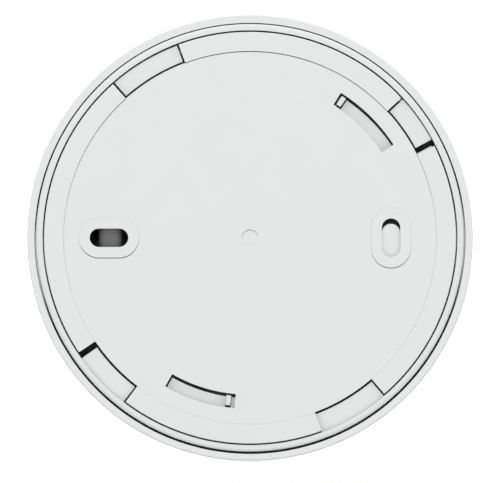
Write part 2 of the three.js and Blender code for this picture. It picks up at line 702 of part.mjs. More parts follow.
/** The metal insect screen round the labyrinth, with a ring of tall openings. */
function insectScreen() {
  const { radius, sheet, windows, windowWidth } = SCREEN;
  const low = CHAMBER.low + CHAMBER.cap + 0.2;
  const high = CHAMBER.top - CHAMBER.baseSheet - 0.2;
  const segments = 2 * windows;
  let body = turned([[radius - sheet, low], [radius, low], [radius, high], [radius - sheet, high]], segments);
  for (let i = 0; i < windows; i += 1) {
    const cutter = new THREE.BoxGeometry(4, windowWidth, high - low - 2.4);
    cutter.translate(radius, 0, (low + high) / 2).rotateZ(radians((360 * (i + 0.5)) / windows));
    body = cut(body, solid(cutter));
  }
  return piece('insect_screen', body, FINISH.steel);
}

// ---------------------------------------------------------------- sounder

/** The sounder's resonator cup, open towards the board, with its sound hole towards the face. */
function sounderCup() {
  const { radius, wall, top, low, seat } = SOUNDER;
  const hole = 1.8;
  const body = turned([
    [hole, low], [radius - 0.3, low], [radius, low + 0.3], [radius, top], [radius - wall, top],
    [radius - wall, seat], [radius - wall - 0.8, seat], [radius - wall - 0.8, low + wall], [hole, low + wall],
  ], MEDIUM);
  return piece('sounder_cup', body, FINISH.smokedBlack);
}

function sounder() {
  const group = placed(new THREE.Group(), SOUNDER.x, 0);
  const inner = SOUNDER.radius - SOUNDER.wall - 0.2;
  const plateLow = SOUNDER.seat + 0.1;
  const ring = turned([[8.8, -25.1], [inner, -25.1], [inner, -24.1], [8.8, -24.1]], MEDIUM);
  const boardLow = BOARD.top - BOARD.sheet - 0.1;
  group.add(
    sounderCup(),
    piece('piezo_plate', rod(inner, plateLow, plateLow + 0.2, 0, 0, MEDIUM), FINISH.brass),
    piece('piezo_ceramic', rod(7.5, plateLow + 0.25, plateLow + 0.45, 0, 0, MEDIUM), FINISH.ceramic),
    piece('sounder_ring', ring, FINISH.smokedBlack),
    placed(piece('sounder_pin_1', rod(0.6, plateLow + 0.5, boardLow, 0, 0, 12), FINISH.brass), 0, 0),
    placed(piece('sounder_pin_2', rod(0.5, plateLow + 0.25, boardLow, 0, 0, 12), FINISH.brass), 0, 8.15),
  );
  return group;
}

// ---------------------------------------------------------------- the whole alarm

const alarm = new THREE.Group();
alarm.add(
  piece('mounting_plate', mountingPlate(), FINISH.plate),
  piece('rear_cover', rearCover(), FINISH.casing),
  piece('front_cover', frontCover(), FINISH.frontCasing),
  ...coverScrews(),
  cellCan(),
  cellSleeve(),
  contact('contact_positive', positiveContactY()),
  contact('contact_negative', negativeContactY()),
  cellSpring(),
  board(),
  ...boardScrews(),
  microcontroller(),
  boostInductor(),
  storageCapacitor(),
  statusLamp(),
  lightPipe(),
  testButton(),
  switchBody(),
  switchPlunger(),
  chamberBase(),
  chamberLabyrinth(),
  optic('infrared_emitter', OPTICS.emitter, FINISH.clear),
  optic('light_receiver', OPTICS.receiver, FINISH.infrared),
  insectScreen(),
  sounder(),
);

export default alarm;
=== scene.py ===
"""A round ceiling smoke alarm on its twist-lock plate: fine surfaces, finishes, light and camera.

Sizes inside the classes are millimetres in the part's own frame, with +Z towards the ceiling, and a finished
piece is scaled to metres. Angles are degrees, anticlockwise as seen from the ceiling side.
"""

import logging
import math
from collections.abc import Callable, Iterable, Sequence
from dataclasses import dataclass, field
from enum import Enum

import bmesh
import bpy
from mathutils import Matrix, Vector


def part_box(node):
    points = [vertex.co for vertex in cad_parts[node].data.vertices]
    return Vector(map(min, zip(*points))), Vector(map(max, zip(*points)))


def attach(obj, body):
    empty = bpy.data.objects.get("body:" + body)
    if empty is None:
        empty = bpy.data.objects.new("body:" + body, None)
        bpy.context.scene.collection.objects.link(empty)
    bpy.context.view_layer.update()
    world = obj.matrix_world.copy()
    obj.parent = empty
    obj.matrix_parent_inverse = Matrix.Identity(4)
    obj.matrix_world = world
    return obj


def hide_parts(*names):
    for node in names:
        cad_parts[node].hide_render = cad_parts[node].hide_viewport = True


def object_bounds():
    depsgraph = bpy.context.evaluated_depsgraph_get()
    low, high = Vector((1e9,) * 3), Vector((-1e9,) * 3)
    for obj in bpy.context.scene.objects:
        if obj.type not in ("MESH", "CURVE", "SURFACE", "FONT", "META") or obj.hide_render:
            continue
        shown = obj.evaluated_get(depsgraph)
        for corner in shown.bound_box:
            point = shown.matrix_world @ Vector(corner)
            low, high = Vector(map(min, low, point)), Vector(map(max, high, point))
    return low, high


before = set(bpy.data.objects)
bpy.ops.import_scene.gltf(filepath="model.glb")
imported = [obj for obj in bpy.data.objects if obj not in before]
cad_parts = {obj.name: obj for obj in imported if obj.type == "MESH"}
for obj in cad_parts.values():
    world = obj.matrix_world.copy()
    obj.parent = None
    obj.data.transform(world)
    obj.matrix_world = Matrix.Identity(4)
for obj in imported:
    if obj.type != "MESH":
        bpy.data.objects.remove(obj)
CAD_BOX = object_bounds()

log = logging.getLogger("smoke_alarm")

Point = tuple[float, float]
Corner = tuple[float, float, float]
Span = tuple[float, float]
Colour = tuple[float, float, float]

OVER = 1.0  # how far a cutter runs past the face it cuts
FLAT = math.radians(0.2)  # faces nearer to one plane than this become one face
SHARP = math.radians(32)  # edges sharper than this are shaded as creases
MERGE = 0.0005  # points closer than this are one point
FILM_ROUND = 360  # facets round the cell's film
ROUND = 240  # facets round the covers
FINE = 128  # facets round the chamber and the sounder
MEDIUM = 96  # facets round the cell, the button and the board's round parts
SMALL = 40  # facets round screws, pins and bores
MILLIMETRE = 0.001


class Body(Enum):
    """The rigid bodies that pieces ride on."""

    PLATE = "plate"
    ALARM = "alarm"
    BUTTON = "button"
    PLUNGER = "plunger"


class Along(Enum):
    """The direction of a straight slot's length."""

    X = "x"
    Y = "y"


# ---------------------------------------------------------------- outlines


def polar(radius: float, angle: float) -> Point:
    """Returns the point at a radius and an angle in degrees."""
    return radius * math.cos(math.radians(angle)), radius * math.sin(math.radians(angle))


def arc(centre: Point, radius: float, start: float, end: float, steps: int) -> list[Point]:
    """Makes points along an arc.

    Args:
        centre: The arc's centre.
        radius: The arc's radius.
        start: The angle of the first point.
        end: The angle of the last point.
        steps: The number of equal steps between the two.

    Returns:
        The steps + 1 points.
    """
    stride = (end - start) / steps
    spokes = [polar(radius, start + stride * i) for i in range(steps + 1)]
    return [(centre[0] + x, centre[1] + y) for x, y in spokes]


def circle(radius: float, centre: Point = (0.0, 0.0), steps: int = SMALL) -> list[Point]:
    """Returns a circle's points, once round."""
    return arc(centre, radius, 0, 360, steps)[:-1]


def sector(inner: float, outer: float, span: Span) -> list[Point]:
    """Returns the anticlockwise outline of part of a ring about the axis."""
    steps = max(2, round((span[1] - span[0]) * 0.8))
    return arc((0, 0), outer, *span, steps) + arc((0, 0), inner, span[1], span[0], steps)


def oval(length: float, width: float, centre: Point, along: Along, steps: int = 16) -> list[Point]:
    """Makes the outline of a straight slot with round ends.

    Args:
        length: The whole length, ends included.
        width: The width.
        centre: The middle of the slot.
        along: The direction of its length.
        steps: The steps round each end.

    Returns:
        The outline's points, anticlockwise.
    """
    x, y = centre
    half = (length - width) / 2
    if along is Along.X:
        return arc((x + half, y), width / 2, -90, 90, steps) + arc((x - half, y), width / 2, 90, 270, steps)
    return arc((x, y + half), width / 2, 0, 180, steps) + arc((x, y - half), width / 2, 180, 360, steps)


def rectangle(west: float, east: float, south: float, north: float, bend: float = 0.0) -> list[Point]:
    """Returns a rectangle's anticlockwise outline, with its corners bent to a radius."""
    corners = [(west, south, bend), (east, south, bend), (east, north, bend), (west, north, bend)]
    return softened(corners)


def softened(corners: Sequence[Corner], steps: int = 5) -> list[Point]:
    """Rounds the corners of an outline or a profile.

    Args:
        corners: The x, the y and the bend radius of each corner.
        steps: The steps round each bend.

    Returns:
        The points of the rounded outline.
    """
    points: list[Point] = []
    for i, (x, y, bend) in enumerate(corners):
        if not bend:
            points.append((x, y))
            continue
        here = Vector((x, y))
        back = (Vector(corners[i - 1][:2]) - here).normalized()
        ahead = (Vector(corners[(i + 1) % len(corners)][:2]) - here).normalized()
        half = back.angle(ahead) / 2
        centre = here + (back + ahead).normalized() * (bend / math.sin(half))
        first = here + back * (bend / math.tan(half)) - centre
        last = here + ahead * (bend / math.tan(half)) - centre
        sweep = first.angle_signed(last)
        for k in range(steps + 1):
            spoke = Matrix.Rotation(-sweep * k / steps, 2) @ first
            points.append(tuple(centre + spoke))
    return points


def grown(outline: Sequence[Point], by: float) -> list[Point]:
    """Moves every side of an outline outwards.

    Args:
        outline: The outline's points, anticlockwise.
        by: The distance, negative to shrink it.

    Returns:
        As many points as the outline has.
    """
    points = [Vector(point) for point in outline]
    moved = []
    for i, here in enumerate(points):
        ahead = points[(i + 1) % len(points)] - here
        back = here - points[i - 1]
        sides = [Vector((side.y, -side.x)).normalized() for side in (back, ahead) if side.length > MERGE]
        normal = sum(sides, Vector((0.0, 0.0))).normalized()
        moved.append(tuple(here + normal * (by / max(0.3, normal.dot(sides[0])))))
    return moved


# ---------------------------------------------------------------- solids


class Solid:
    """A closed body in millimetres, shaped by mesh operators and joined or cut by booleans."""

    def __init__(self, shape: bmesh.types.BMesh) -> None:
        """Takes over a finished mesh.

        Args:
            shape: The closed mesh, which is freed.
        """
        bmesh.ops.recalc_face_normals(shape, faces=shape.faces)
        self.mesh = bpy.data.meshes.new("solid")
        shape.to_mesh(self.mesh)
        shape.free()

    @classmethod
    def turned(cls, profile: Sequence[Point], steps: int = ROUND, centre: Point = (0.0, 0.0)) -> "Solid":
        """Spins a profile about an upright axis.

        Args:
            profile: Radius and height of each point, closed on itself or with both ends on the axis.
            steps: The facets round the axis.
            centre: Where the axis stands.

        Returns:
            The solid of revolution.
        """
        shape = bmesh.new()
        points = [shape.verts.new((radius, 0, height)) for radius, height in profile]
        edges = [shape.edges.new(pair) for pair in zip(points, points[1:])]
        if profile[0][0] > MERGE:
            edges.append(shape.edges.new((points[-1], points[0])))
        bmesh.ops.spin(shape, geom=points + edges, cent=(0, 0, 0), axis=(0, 0, 1), angle=2 * math.pi,
                       steps=steps, use_merge=True)
        bmesh.ops.remove_doubles(shape, verts=shape.verts, dist=MERGE)
        bmesh.ops.translate(shape, verts=shape.verts, vec=(*centre, 0))
        return cls(shape)

    @classmethod
    def lofted(cls, sections: Sequence[tuple[Sequence[Point], float]]) -> "Solid":
        """Extrudes an outline through a stack of sections.

        Args:
            sections: Outlines with their heights, all with as many points as the first.

        Returns:
            The solid between the first section and the last.
        """
        shape = bmesh.new()
        order = shape.verts.layers.int.new("order")
        outline, height = sections[0]
        ring = [shape.verts.new((x, y, height)) for x, y in outline]
        for i, vertex in enumerate(ring):
            vertex[order] = i
        cap = shape.faces.new(ring)
        for i, (outline, height) in enumerate(sections[1:]):
            made = bmesh.ops.extrude_face_region(shape, geom=[cap])["geom"]
            if i:
                bmesh.ops.delete(shape, geom=[cap], context="FACES_ONLY")
            cap = next(item for item in made if isinstance(item, bmesh.types.BMFace))
            for vertex in cap.verts:
                vertex.co = (*outline[vertex[order]], height)
        bmesh.ops.remove_doubles(shape, verts=shape.verts, dist=MERGE)
        return cls(shape)

    @classmethod
    def prism(cls, outline: Sequence[Point], low: float, high: float, bottom: float = 0.0, top: float = 0.0,
              steps: int = 3) -> "Solid":
        """Extrudes an outline between two heights with rounded or flared rims.

        Args:
            outline: The outline's points, anticlockwise.
            low: The lower height.
            high: The upper height.
            bottom: The rounding of the lower rim. A negative one flares a cutter's mouth.
            top: The rounding of the upper rim, or its flare.
            steps: The steps of each rounding.

        Returns:
            The prism. A flared mouth runs on past its face.
        """
        lower = cls._rim(outline, low, bottom, -1, steps)
        upper = cls._rim(outline, high, top, 1, steps)
        return cls.lofted(lower[::-1] + upper)

    @staticmethod
    def _rim(outline: Sequence[Point], height: float, bend: float, way: int,
             steps: int) -> list[tuple[list[Point], float]]:
        """Makes the sections of one rim of a prism.

        Args:
            outline: The prism's outline.
            height: The height of the rim's face.
            bend: The rounding, or the flare where it is negative.
            way: 1 for an upper rim and -1 for a lower one.
            steps: The steps of the rounding.

        Returns:
            The sections, from the prism's side to its end.
        """
        if not bend:
            return [(list(outline), height)]
        size = abs(bend)
        sections = []
        for i in range(steps + 1):
            angle = math.radians(90 * i / steps)
            inset = bend * (1 - math.cos(angle))
            sections.append((grown(outline, -inset), height - way * size * (1 - math.sin(angle))))
        if bend < 0:
            sections.append((grown(outline, size), height + way * OVER))
        return sections

    @classmethod
    def together(cls, solids: Iterable["Solid"]) -> "Solid":
        """Gathers solids that don't touch into one.

        Args:
            solids: The separate solids.

        Returns:
            One solid of several closed shells.
        """
        shape = bmesh.new()
        for solid in solids:
            shape.from_mesh(solid.mesh)
        return cls(shape)

    def moved(self, *steps: Matrix) -> "Solid":
        """Moves the solid by each matrix in turn.

        Args:
            steps: The matrices, the first one first.

        Returns:
            The same solid.
        """
        for step in steps:
            self.mesh.transform(step)
        return self

    def join(self, *others: "Solid") -> "Solid":
        """Returns this solid with others added to it."""
        return self._combined(others, "UNION")

    def cut(self, *others: "Solid") -> "Solid":
        """Returns this solid with others taken out of it."""
        return self._combined(others, "DIFFERENCE")

    def meet(self, *others: "Solid") -> "Solid":
        """Returns what this solid and others share."""
        return self._combined(others, "INTERSECT")

    def _combined(self, others: Sequence["Solid"], operation: str) -> "Solid":
        """Applies one boolean after another.

        Args:
            others: The other solids.
            operation: Blender's name for the boolean.

        Returns:
            The new solid, with its flat faces made whole again.
        """
        host = link(bpy.data.objects.new("host", self.mesh))
        tools = [link(bpy.data.objects.new("tool", other.mesh)) for other in others]
        for tool in tools:
            modifier = host.modifiers.new("boolean", "BOOLEAN")
            modifier.object = tool
            modifier.operation = operation
            modifier.solver = "MANIFOLD"
        shape = bmesh.new()
        shape.from_object(host, bpy.context.evaluated_depsgraph_get())
        for used in (host, *tools):
            bpy.data.objects.remove(used)
        bmesh.ops.remove_doubles(shape, verts=shape.verts, dist=MERGE)
        bmesh.ops.dissolve_limit(shape, angle_limit=FLAT, verts=shape.verts, edges=shape.edges)
        return Solid(shape)

    def piece(self, name: str, body: Body, finish: "Finish", *nodes: str,
              slot: str | None = None) -> bpy.types.Object:
        """Makes the solid a finished piece of the alarm, in metres.

        Args:
            name: The piece's name.
            body: The body that it rides on.
            finish: Its material.
            nodes: The CAD nodes that it stands for.
            slot: The record's material slot, or None where the record has none for it. Not used.

        Returns:
            The piece's object, at the origin.
        """
        self.mesh.transform(Matrix.Scale(MILLIMETRE, 4))
        self.mesh.name = name
        self.mesh.shade_smooth()
        self.mesh.set_sharp_from_angle(angle=SHARP)
        made = link(bpy.data.objects.new(name, self.mesh))
        made.data.materials.append(finish.material())
        weighting = made.modifiers.new("even shading", "WEIGHTED_NORMAL")
        weighting.keep_sharp = True
        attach(made, body.value)
        if nodes:
            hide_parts(*nodes)
        log.info("%s: %d faces", name, len(self.mesh.polygons))
        return made


def link(made: bpy.types.Object) -> bpy.types.Object:
    """Returns an object after linking it to the scene."""
    bpy.context.scene.collection.objects.link(made)
    return made


def corners_of(node: str) -> tuple[Vector, Vector]:
    """Returns a CAD node's lowest and highest corner in millimetres."""
    low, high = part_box(node)
    return low / MILLIMETRE, high / MILLIMETRE


def centre_of(node: str) -> Vector:
    """Returns the middle of a CAD node's box in millimetres."""
    low, high = corners_of(node)
    return (low + high) / 2


def middles_of(kind: str, count: int) -> list[Sequence[float]]:
    """Returns the X and Y of each CAD node of a numbered kind, in millimetres."""
    return [centre_of(f"{kind}_{i}")[:2] for i in range(1, count + 1)]


def turn(angle: float, axis: str = "Z") -> Matrix:
    """Returns a rotation by an angle in degrees."""
    return Matrix.Rotation(math.radians(angle), 4, axis)


def shift(x: float = 0.0, y: float = 0.0, z: float = 0.0) -> Matrix:
    """Returns a translation."""
    return Matrix.Translation((x, y, z))


# ---------------------------------------------------------------- finishes


class Graph:
    """Adds nodes to a tree, with their inputs set or linked as they are made."""

    def __init__(self, tree: bpy.types.NodeTree) -> None:
        """Keeps the tree that nodes are added to."""
        self.tree = tree

    def add(self, kind: str, inputs: dict[str | int, object] | None = None,
            **settings: object) -> bpy.types.Node:
        """Adds one node.

        Args:
            kind: The node's type.
            inputs: A value or an output socket for each named or numbered input.
            settings: The node's own settings.

        Returns:
            The node.
        """
        node = self.tree.nodes.new(kind)
        for name, value in settings.items():
            setattr(node, name, value)
        for name, value in (inputs or {}).items():
            if isinstance(value, bpy.types.NodeSocket):
                self.tree.links.new(value, node.inputs[name])
            else:
                node.inputs[name].default_value = value
        return node

    def noise(self, scale: object, detail: float = 2.0) -> bpy.types.NodeSocket:
        """Returns a noise value between 0 and 1 over the piece's own coordinates."""
        inputs = {"Vector": self.place(), "Scale": scale, "Detail": detail}
        return self.add("ShaderNodeTexNoise", inputs).outputs[0]

    def place(self) -> bpy.types.NodeSocket:
        """Returns the piece's own coordinates."""
        return self.add("ShaderNodeTexCoord").outputs["Object"]

    def between(self, value: object, low: float, high: float, start: float = 0.35,
                end: float = 0.65) -> bpy.types.NodeSocket:
        """Returns a value spread from low to high, while the given one goes from start to end."""
        inputs = {0: value, 1: start, 2: end, 3: low, 4: high}
        return self.add("ShaderNodeMapRange", inputs).outputs[0]

    def mix(self, share: object, first: object, second: object) -> bpy.types.NodeSocket:
        """Returns a mix of two colours."""
        first, second = [(*part, 1.0) if isinstance(part, tuple) else part for part in (first, second)]
        return self.add("ShaderNodeMix", {0: share, 6: first, 7: second}, data_type="RGBA").outputs[2]

    def math(self, operation: str, first: object, second: object = 0.0) -> bpy.types.NodeSocket:
        """Returns the result of one sum."""
        return self.add("ShaderNodeMath", {0: first, 1: second}, operation=operation).outputs[0]


def effect(name: str, inputs: Sequence[str], outputs: Sequence[str],
           build: Callable[[Graph, bpy.types.Node], dict[str, bpy.types.NodeSocket]]) -> bpy.types.NodeTree:
    """Finds or builds a node group that several finishes use.

    Args:
        name: The group's name.
        inputs: The names of its inputs. One that holds the word colour is a colour, and the rest are numbers.
        outputs: The names of its outputs, by the same rule.
        build: Adds the group's nodes, and gives a socket for each output.

    Returns:
        The node group.
    """
    found = bpy.data.node_groups.get(name)
    if found:
        return found
    tree = bpy.data.node_groups.new(name, "ShaderNodeTree")
    for names, way in ((inputs, "INPUT"), (outputs, "OUTPUT")):
        for socket in names:
            kind = "NodeSocketColor" if "colour" in socket else "NodeSocketFloat"
            tree.interface.new_socket(name=socket, in_out=way, socket_type=kind)
    graph = Graph(tree)
    made = build(graph, graph.add("NodeGroupInput"))
    graph.add("NodeGroupOutput", made)
    return tree


def moulded_tone_and_shade(graph: Graph, given: bpy.types.Node) -> dict[str, bpy.types.NodeSocket]:
    """Builds a moulding's tone: drifting colours, specks, and painted shade in crevices, recesses and gaps,
    greyer on dark mouldings.

    Args:
        graph: The group's graph.
        given: The group's input node.

    Returns:
        The colour's socket.
    """
    drift = graph.between(graph.noise(given.outputs["drift scale"], 3.0), 0.0, 1.0, 0.3, 0.7)
    tone = graph.mix(drift, given.outputs["colour"], given.outputs["second colour"])
    specks = graph.between(graph.noise(1900.0, 1.0), 0.0, 0.05, 0.70, 0.78)
    tone = graph.mix(specks, tone, given.outputs["grime and shade colour"])
    # painted shade: where ambient occlusion finds a crevice, recess or gap, the colour is drawn towards the
    # third colour
    reach = given.outputs["grime and shade reach"]
    openness = graph.add("ShaderNodeAmbientOcclusion", {"Distance": reach}, samples=8).outputs["AO"]
    shade = graph.between(openness, 1.0, 0.0, 0.15, 0.8)
    shade = graph.math("MULTIPLY", shade, given.outputs["grime and shade amount"])
    return {"colour": graph.mix(shade, tone, given.outputs["grime and shade colour"])}


def eroded_grain(graph: Graph, given: bpy.types.Node) -> dict[str, bpy.types.NodeSocket]:
    """Builds the fine pebbled grain that a spark-eroded mould leaves.

    Args:
        graph: The group's graph.
        given: The group's input node.

    Returns:
        The sockets of the grain's height and of its broad patches.
    """
    scale = given.outputs["scale"]
    pits = graph.add("ShaderNodeTexVoronoi", {"Vector": graph.place(), "Scale": scale}, feature="SMOOTH_F1")
    fine = graph.noise(graph.math("MULTIPLY", scale, 2.3), 3.0)
    height = graph.math("ADD", graph.math("MULTIPLY", pits.outputs["Distance"], 0.7), fine)
    patches = graph.noise(graph.math("MULTIPLY", scale, 0.04), 2.0)
    return {"height": height, "patches": patches}


def handling(graph: Graph, given: bpy.types.Node) -> dict[str, bpy.types.NodeSocket]:
    """Builds the masks of handling: worn edges and long faint scratches.

    Args:
        graph: The group's graph.
        given: The group's input node.

    Returns:
        The sockets of both masks.
    """
    reach = given.outputs["edge reach"]
    rounded = graph.add("ShaderNodeBevel", {"Radius": reach}, samples=4).outputs[0]
    straight = graph.add("ShaderNodeNewGeometry").outputs["Normal"]
    inputs = {0: rounded, 1: straight}
    along = graph.add("ShaderNodeVectorMath", inputs, operation="DOT_PRODUCT").outputs["Value"]
    edges = graph.between(along, 1.0, 0.0, 0.80, 0.99)
    broken = graph.between(graph.noise(700.0, 4.0), 0.2, 1.0, 0.4, 0.6)
    inputs = {"Vector": graph.place(), "Scale": (40.0, 900.0, 200.0), "Rotation": (0.3, 0.2, 0.6)}
    stretched = graph.add("ShaderNodeMapping", inputs).outputs[0]
    lines = graph.add("ShaderNodeTexNoise", {"Vector": stretched, "Scale": 3.0, "Detail": 2.0}).outputs[0]
    worn = graph.math("MULTIPLY", edges, broken)
    return {"edges": worn, "scratches": graph.between(lines, 0.0, 1.0, 0.66, 0.72)}


def drawn_lines(graph: Graph, given: bpy.types.Node) -> dict[str, bpy.types.NodeSocket]:
    """Builds the long hairlines that rolling, drawing or turning leaves in metal.

    Args:
        graph: The group's graph.
        given: The group's input node.

    Returns:
        The sockets of the hairlines and of the stains.
    """
    inputs = {"Vector": graph.place(), "Scale": (1.0, 0.05, 1.0)}
    stretched = graph.add("ShaderNodeMapping", inputs).outputs[0]
    inputs = {"Vector": stretched, "Scale": given.outputs["scale"], "Detail": 4.0}
    lines = graph.add("ShaderNodeTexNoise", inputs).outputs[0]
    stains = graph.noise(graph.math("MULTIPLY", given.outputs["scale"], 0.08), 3.0)
    return {"lines": lines, "stains": stains}


def placed_effect(graph: Graph, tree: bpy.types.NodeTree, inputs: dict[str, object]) -> dict[str, object]:
    """Places an effect in a material.

    Args:
        graph: The material's graph.
        tree: The effect's node group.
        inputs: The values of its inputs.

    Returns:
        Its output sockets by name.
    """
    node = graph.add("ShaderNodeGroup", node_tree=tree)
    for name, value in inputs.items():
        node.inputs[name].default_value = (*value, 1.0) if isinstance(value, tuple) else value
    return {socket.name: socket for socket in node.outputs}


@dataclass(frozen=True)
class Finish:
    """A named material, made once."""

    name: str

    def material(self) -> bpy.types.Material:
        """Finds the finish's material, or builds it the first time.

        Returns:
            The material.
        """
        found = bpy.data.materials.get(self.name)
        if found:
            return found
        made = bpy.data.materials.new(self.name)
        made.use_nodes = True
        made.node_tree.nodes.clear()
        graph = Graph(made.node_tree)
        graph.add("ShaderNodeOutputMaterial", {"Surface": self.surface(graph).outputs[0]})
        return made

    def surface(self, graph: Graph) -> bpy.types.Node:
        """Returns the shader's node, built in the material's graph. Each kind of finish has its own."""
        raise NotImplementedError


@dataclass(frozen=True)
class MouldedPlastic(Finish):
    """An injection moulding with grain, drifting tone, painted shade in its crevices and recesses, and
    handled edges.
    """

    colour: Colour
    second: Colour
    # the specks' colour, and the colour that crevices and recesses are painted towards as shade
    grime_and_shade: Colour
    roughness: float = 0.5
    grain: float = 0.012  # the grain's height
    grain_size: float = 0.25
    # painted shade: how strongly, and how far from a wall, crevices and recesses are painted towards the
    # third colour
    grime_and_shade_amount: float = 0.35
    grime_and_shade_reach: float = 1.6
    specular: float = 0.18
    bounce_loss: float = 0.92  # how much of the light that reaches other pieces is soaked up
    drift: float = 45.0  # how fast the tone drifts across the moulding
    edge_reach: float = 0.25  # how far wear spreads from an edge

    def surface(self, graph: Graph) -> bpy.types.Node:
        """Builds the moulding's shader.

        Args:
            graph: The material's graph.

        Returns:
            The shader node.
        """
        # the tone also paints shade into crevices, recesses and gaps
        tone_inputs = ["colour", "second colour", "grime and shade colour", "drift scale", "grime and shade reach", "grime and shade amount"]
        tone = placed_effect(graph, effect("Moulded tone and painted shade", tone_inputs, ["colour"], moulded_tone_and_shade), {
            "colour": self.colour, "second colour": self.second, "grime and shade colour": self.grime_and_shade,
            "drift scale": self.drift, "grime and shade reach": self.grime_and_shade_reach * MILLIMETRE,
            "grime and shade amount": self.grime_and_shade_amount})
        grain = placed_effect(graph, effect("Eroded grain", ["scale"], ["height", "patches"], eroded_grain),
                              {"scale": 1 / (self.grain_size * MILLIMETRE)})
        wear = placed_effect(graph, effect("Handling", ["edge reach"], ["edges", "scratches"], handling),
                             {"edge reach": self.edge_reach * MILLIMETRE})
        lighter = tuple(min(1.0, part * 1.06 + 0.01) for part in self.colour)
        colour = graph.mix(graph.math("MULTIPLY", wear["edges"], 0.2), tone["colour"], lighter)
        indirect = graph.add("ShaderNodeLightPath").outputs["Is Diffuse Ray"]
        colour = graph.mix(graph.math("MULTIPLY", indirect, self.bounce_loss), colour, (0.0, 0.0, 0.0))
        rough = graph.between(grain["patches"], self.roughness - 0.05, self.roughness + 0.06)
        rough = graph.math("SUBTRACT", rough, graph.math("MULTIPLY", wear["scratches"], 0.08))
        rough = graph.math("SUBTRACT", rough, graph.math("MULTIPLY", wear["edges"], 0.10))
        relief = graph.add("ShaderNodeBump", {"Height": grain["height"], "Strength": 0.6,
                                              "Distance": self.grain * MILLIMETRE})
        return graph.add("ShaderNodeBsdfPrincipled", {
            "Base Color": colour, "Roughness": rough, "Normal": relief.outputs[0], "IOR": 1.5,
            "Specular IOR Level": self.specular})


@dataclass(frozen=True)
class WorkedMetal(Finish):
    """Plated, rolled or turned metal with hairlines and faint stains."""

    colour: Colour
    stain: Colour
    roughness: float = 0.28
    line_size: float = 0.12
    edge_reach: float = 0.12

    def surface(self, graph: Graph) -> bpy.types.Node:
        """Builds the metal's shader.

        Args:
            graph: The material's graph.

        Returns:
            The shader node.
        """
        drawn = placed_effect(graph, effect("Drawn lines", ["scale"], ["lines", "stains"], drawn_lines),
                              {"scale": 1 / (self.line_size * MILLIMETRE)})
        wear = placed_effect(graph, effect("Handling", ["edge reach"], ["edges", "scratches"], handling),
                             {"edge reach": self.edge_reach * MILLIMETRE})
        stained = graph.mix(graph.between(drawn["stains"], 0.0, 0.8, 0.5, 0.75), self.colour, self.stain)
        bright = tuple(min(1.0, part * 1.15) for part in self.colour)
        colour = graph.mix(wear["edges"], stained, bright)
        rough = graph.between(drawn["lines"], self.roughness - 0.07, self.roughness + 0.10)
        relief = graph.add("ShaderNodeBump", {"Height": drawn["lines"], "Strength": 0.25,
                                              "Distance": 0.01 * MILLIMETRE})
        return graph.add("ShaderNodeBsdfPrincipled", {
            "Base Color": colour, "Roughness": rough, "Normal": relief.outputs[0], "Metallic": 1.0})


@dataclass(frozen=True)
class ShrinkFilm(Finish):
    """Glossy film shrunk over the cell, with faint ripples along its length."""

    colour: Colour
    roughness: float = 0.3
    ripples: float = 700.0  # how close the ripples lie

    def surface(self, graph: Graph) -> bpy.types.Node:
        """Builds the film's shader.

        Args:
            graph: The material's graph.

        Returns:
            The shader node.
        """
        drawn = placed_effect(graph, effect("Drawn lines", ["scale"], ["lines", "stains"], drawn_lines),
                              {"scale": self.ripples})
        lighter = tuple(part * 1.6 + 0.003 for part in self.colour)
        colour = graph.mix(graph.between(drawn["stains"], 0.0, 1.0), self.colour, lighter)
        rough = graph.between(drawn["stains"], self.roughness - 0.03, self.roughness + 0.05)
        relief = graph.add("ShaderNodeBump", {"Height": drawn["lines"], "Strength": 0.15,
                                              "Distance": 0.02 * MILLIMETRE})
        return graph.add("ShaderNodeBsdfPrincipled", {
            "Base Color": colour, "Roughness": rough, "Normal": relief.outputs[0], "IOR": 1.7,
            "Specular IOR Level": 1.0})


@dataclass(frozen=True)
class ClearResin(Finish):
    """Clear or dark see-through resin, a little cloudy from the mould."""

    colour: Colour
    roughness: float = 0.06
    passing: float = 1.0

    def surface(self, graph: Graph) -> bpy.types.Node:
        """Builds the resin's shader.

        Args:
            graph: The material's graph.

        Returns:
            The shader node.
        """
        cloud = graph.noise(600.0, 3.0)
        deeper = tuple(part * 0.88 for part in self.colour)
        return graph.add("ShaderNodeBsdfPrincipled", {
            "Base Color": graph.mix(graph.between(cloud, 0.0, 1.0), self.colour, deeper),
            "Roughness": graph.between(cloud, self.roughness, self.roughness + 0.06),
            "Transmission Weight": self.passing, "IOR": 1.5})


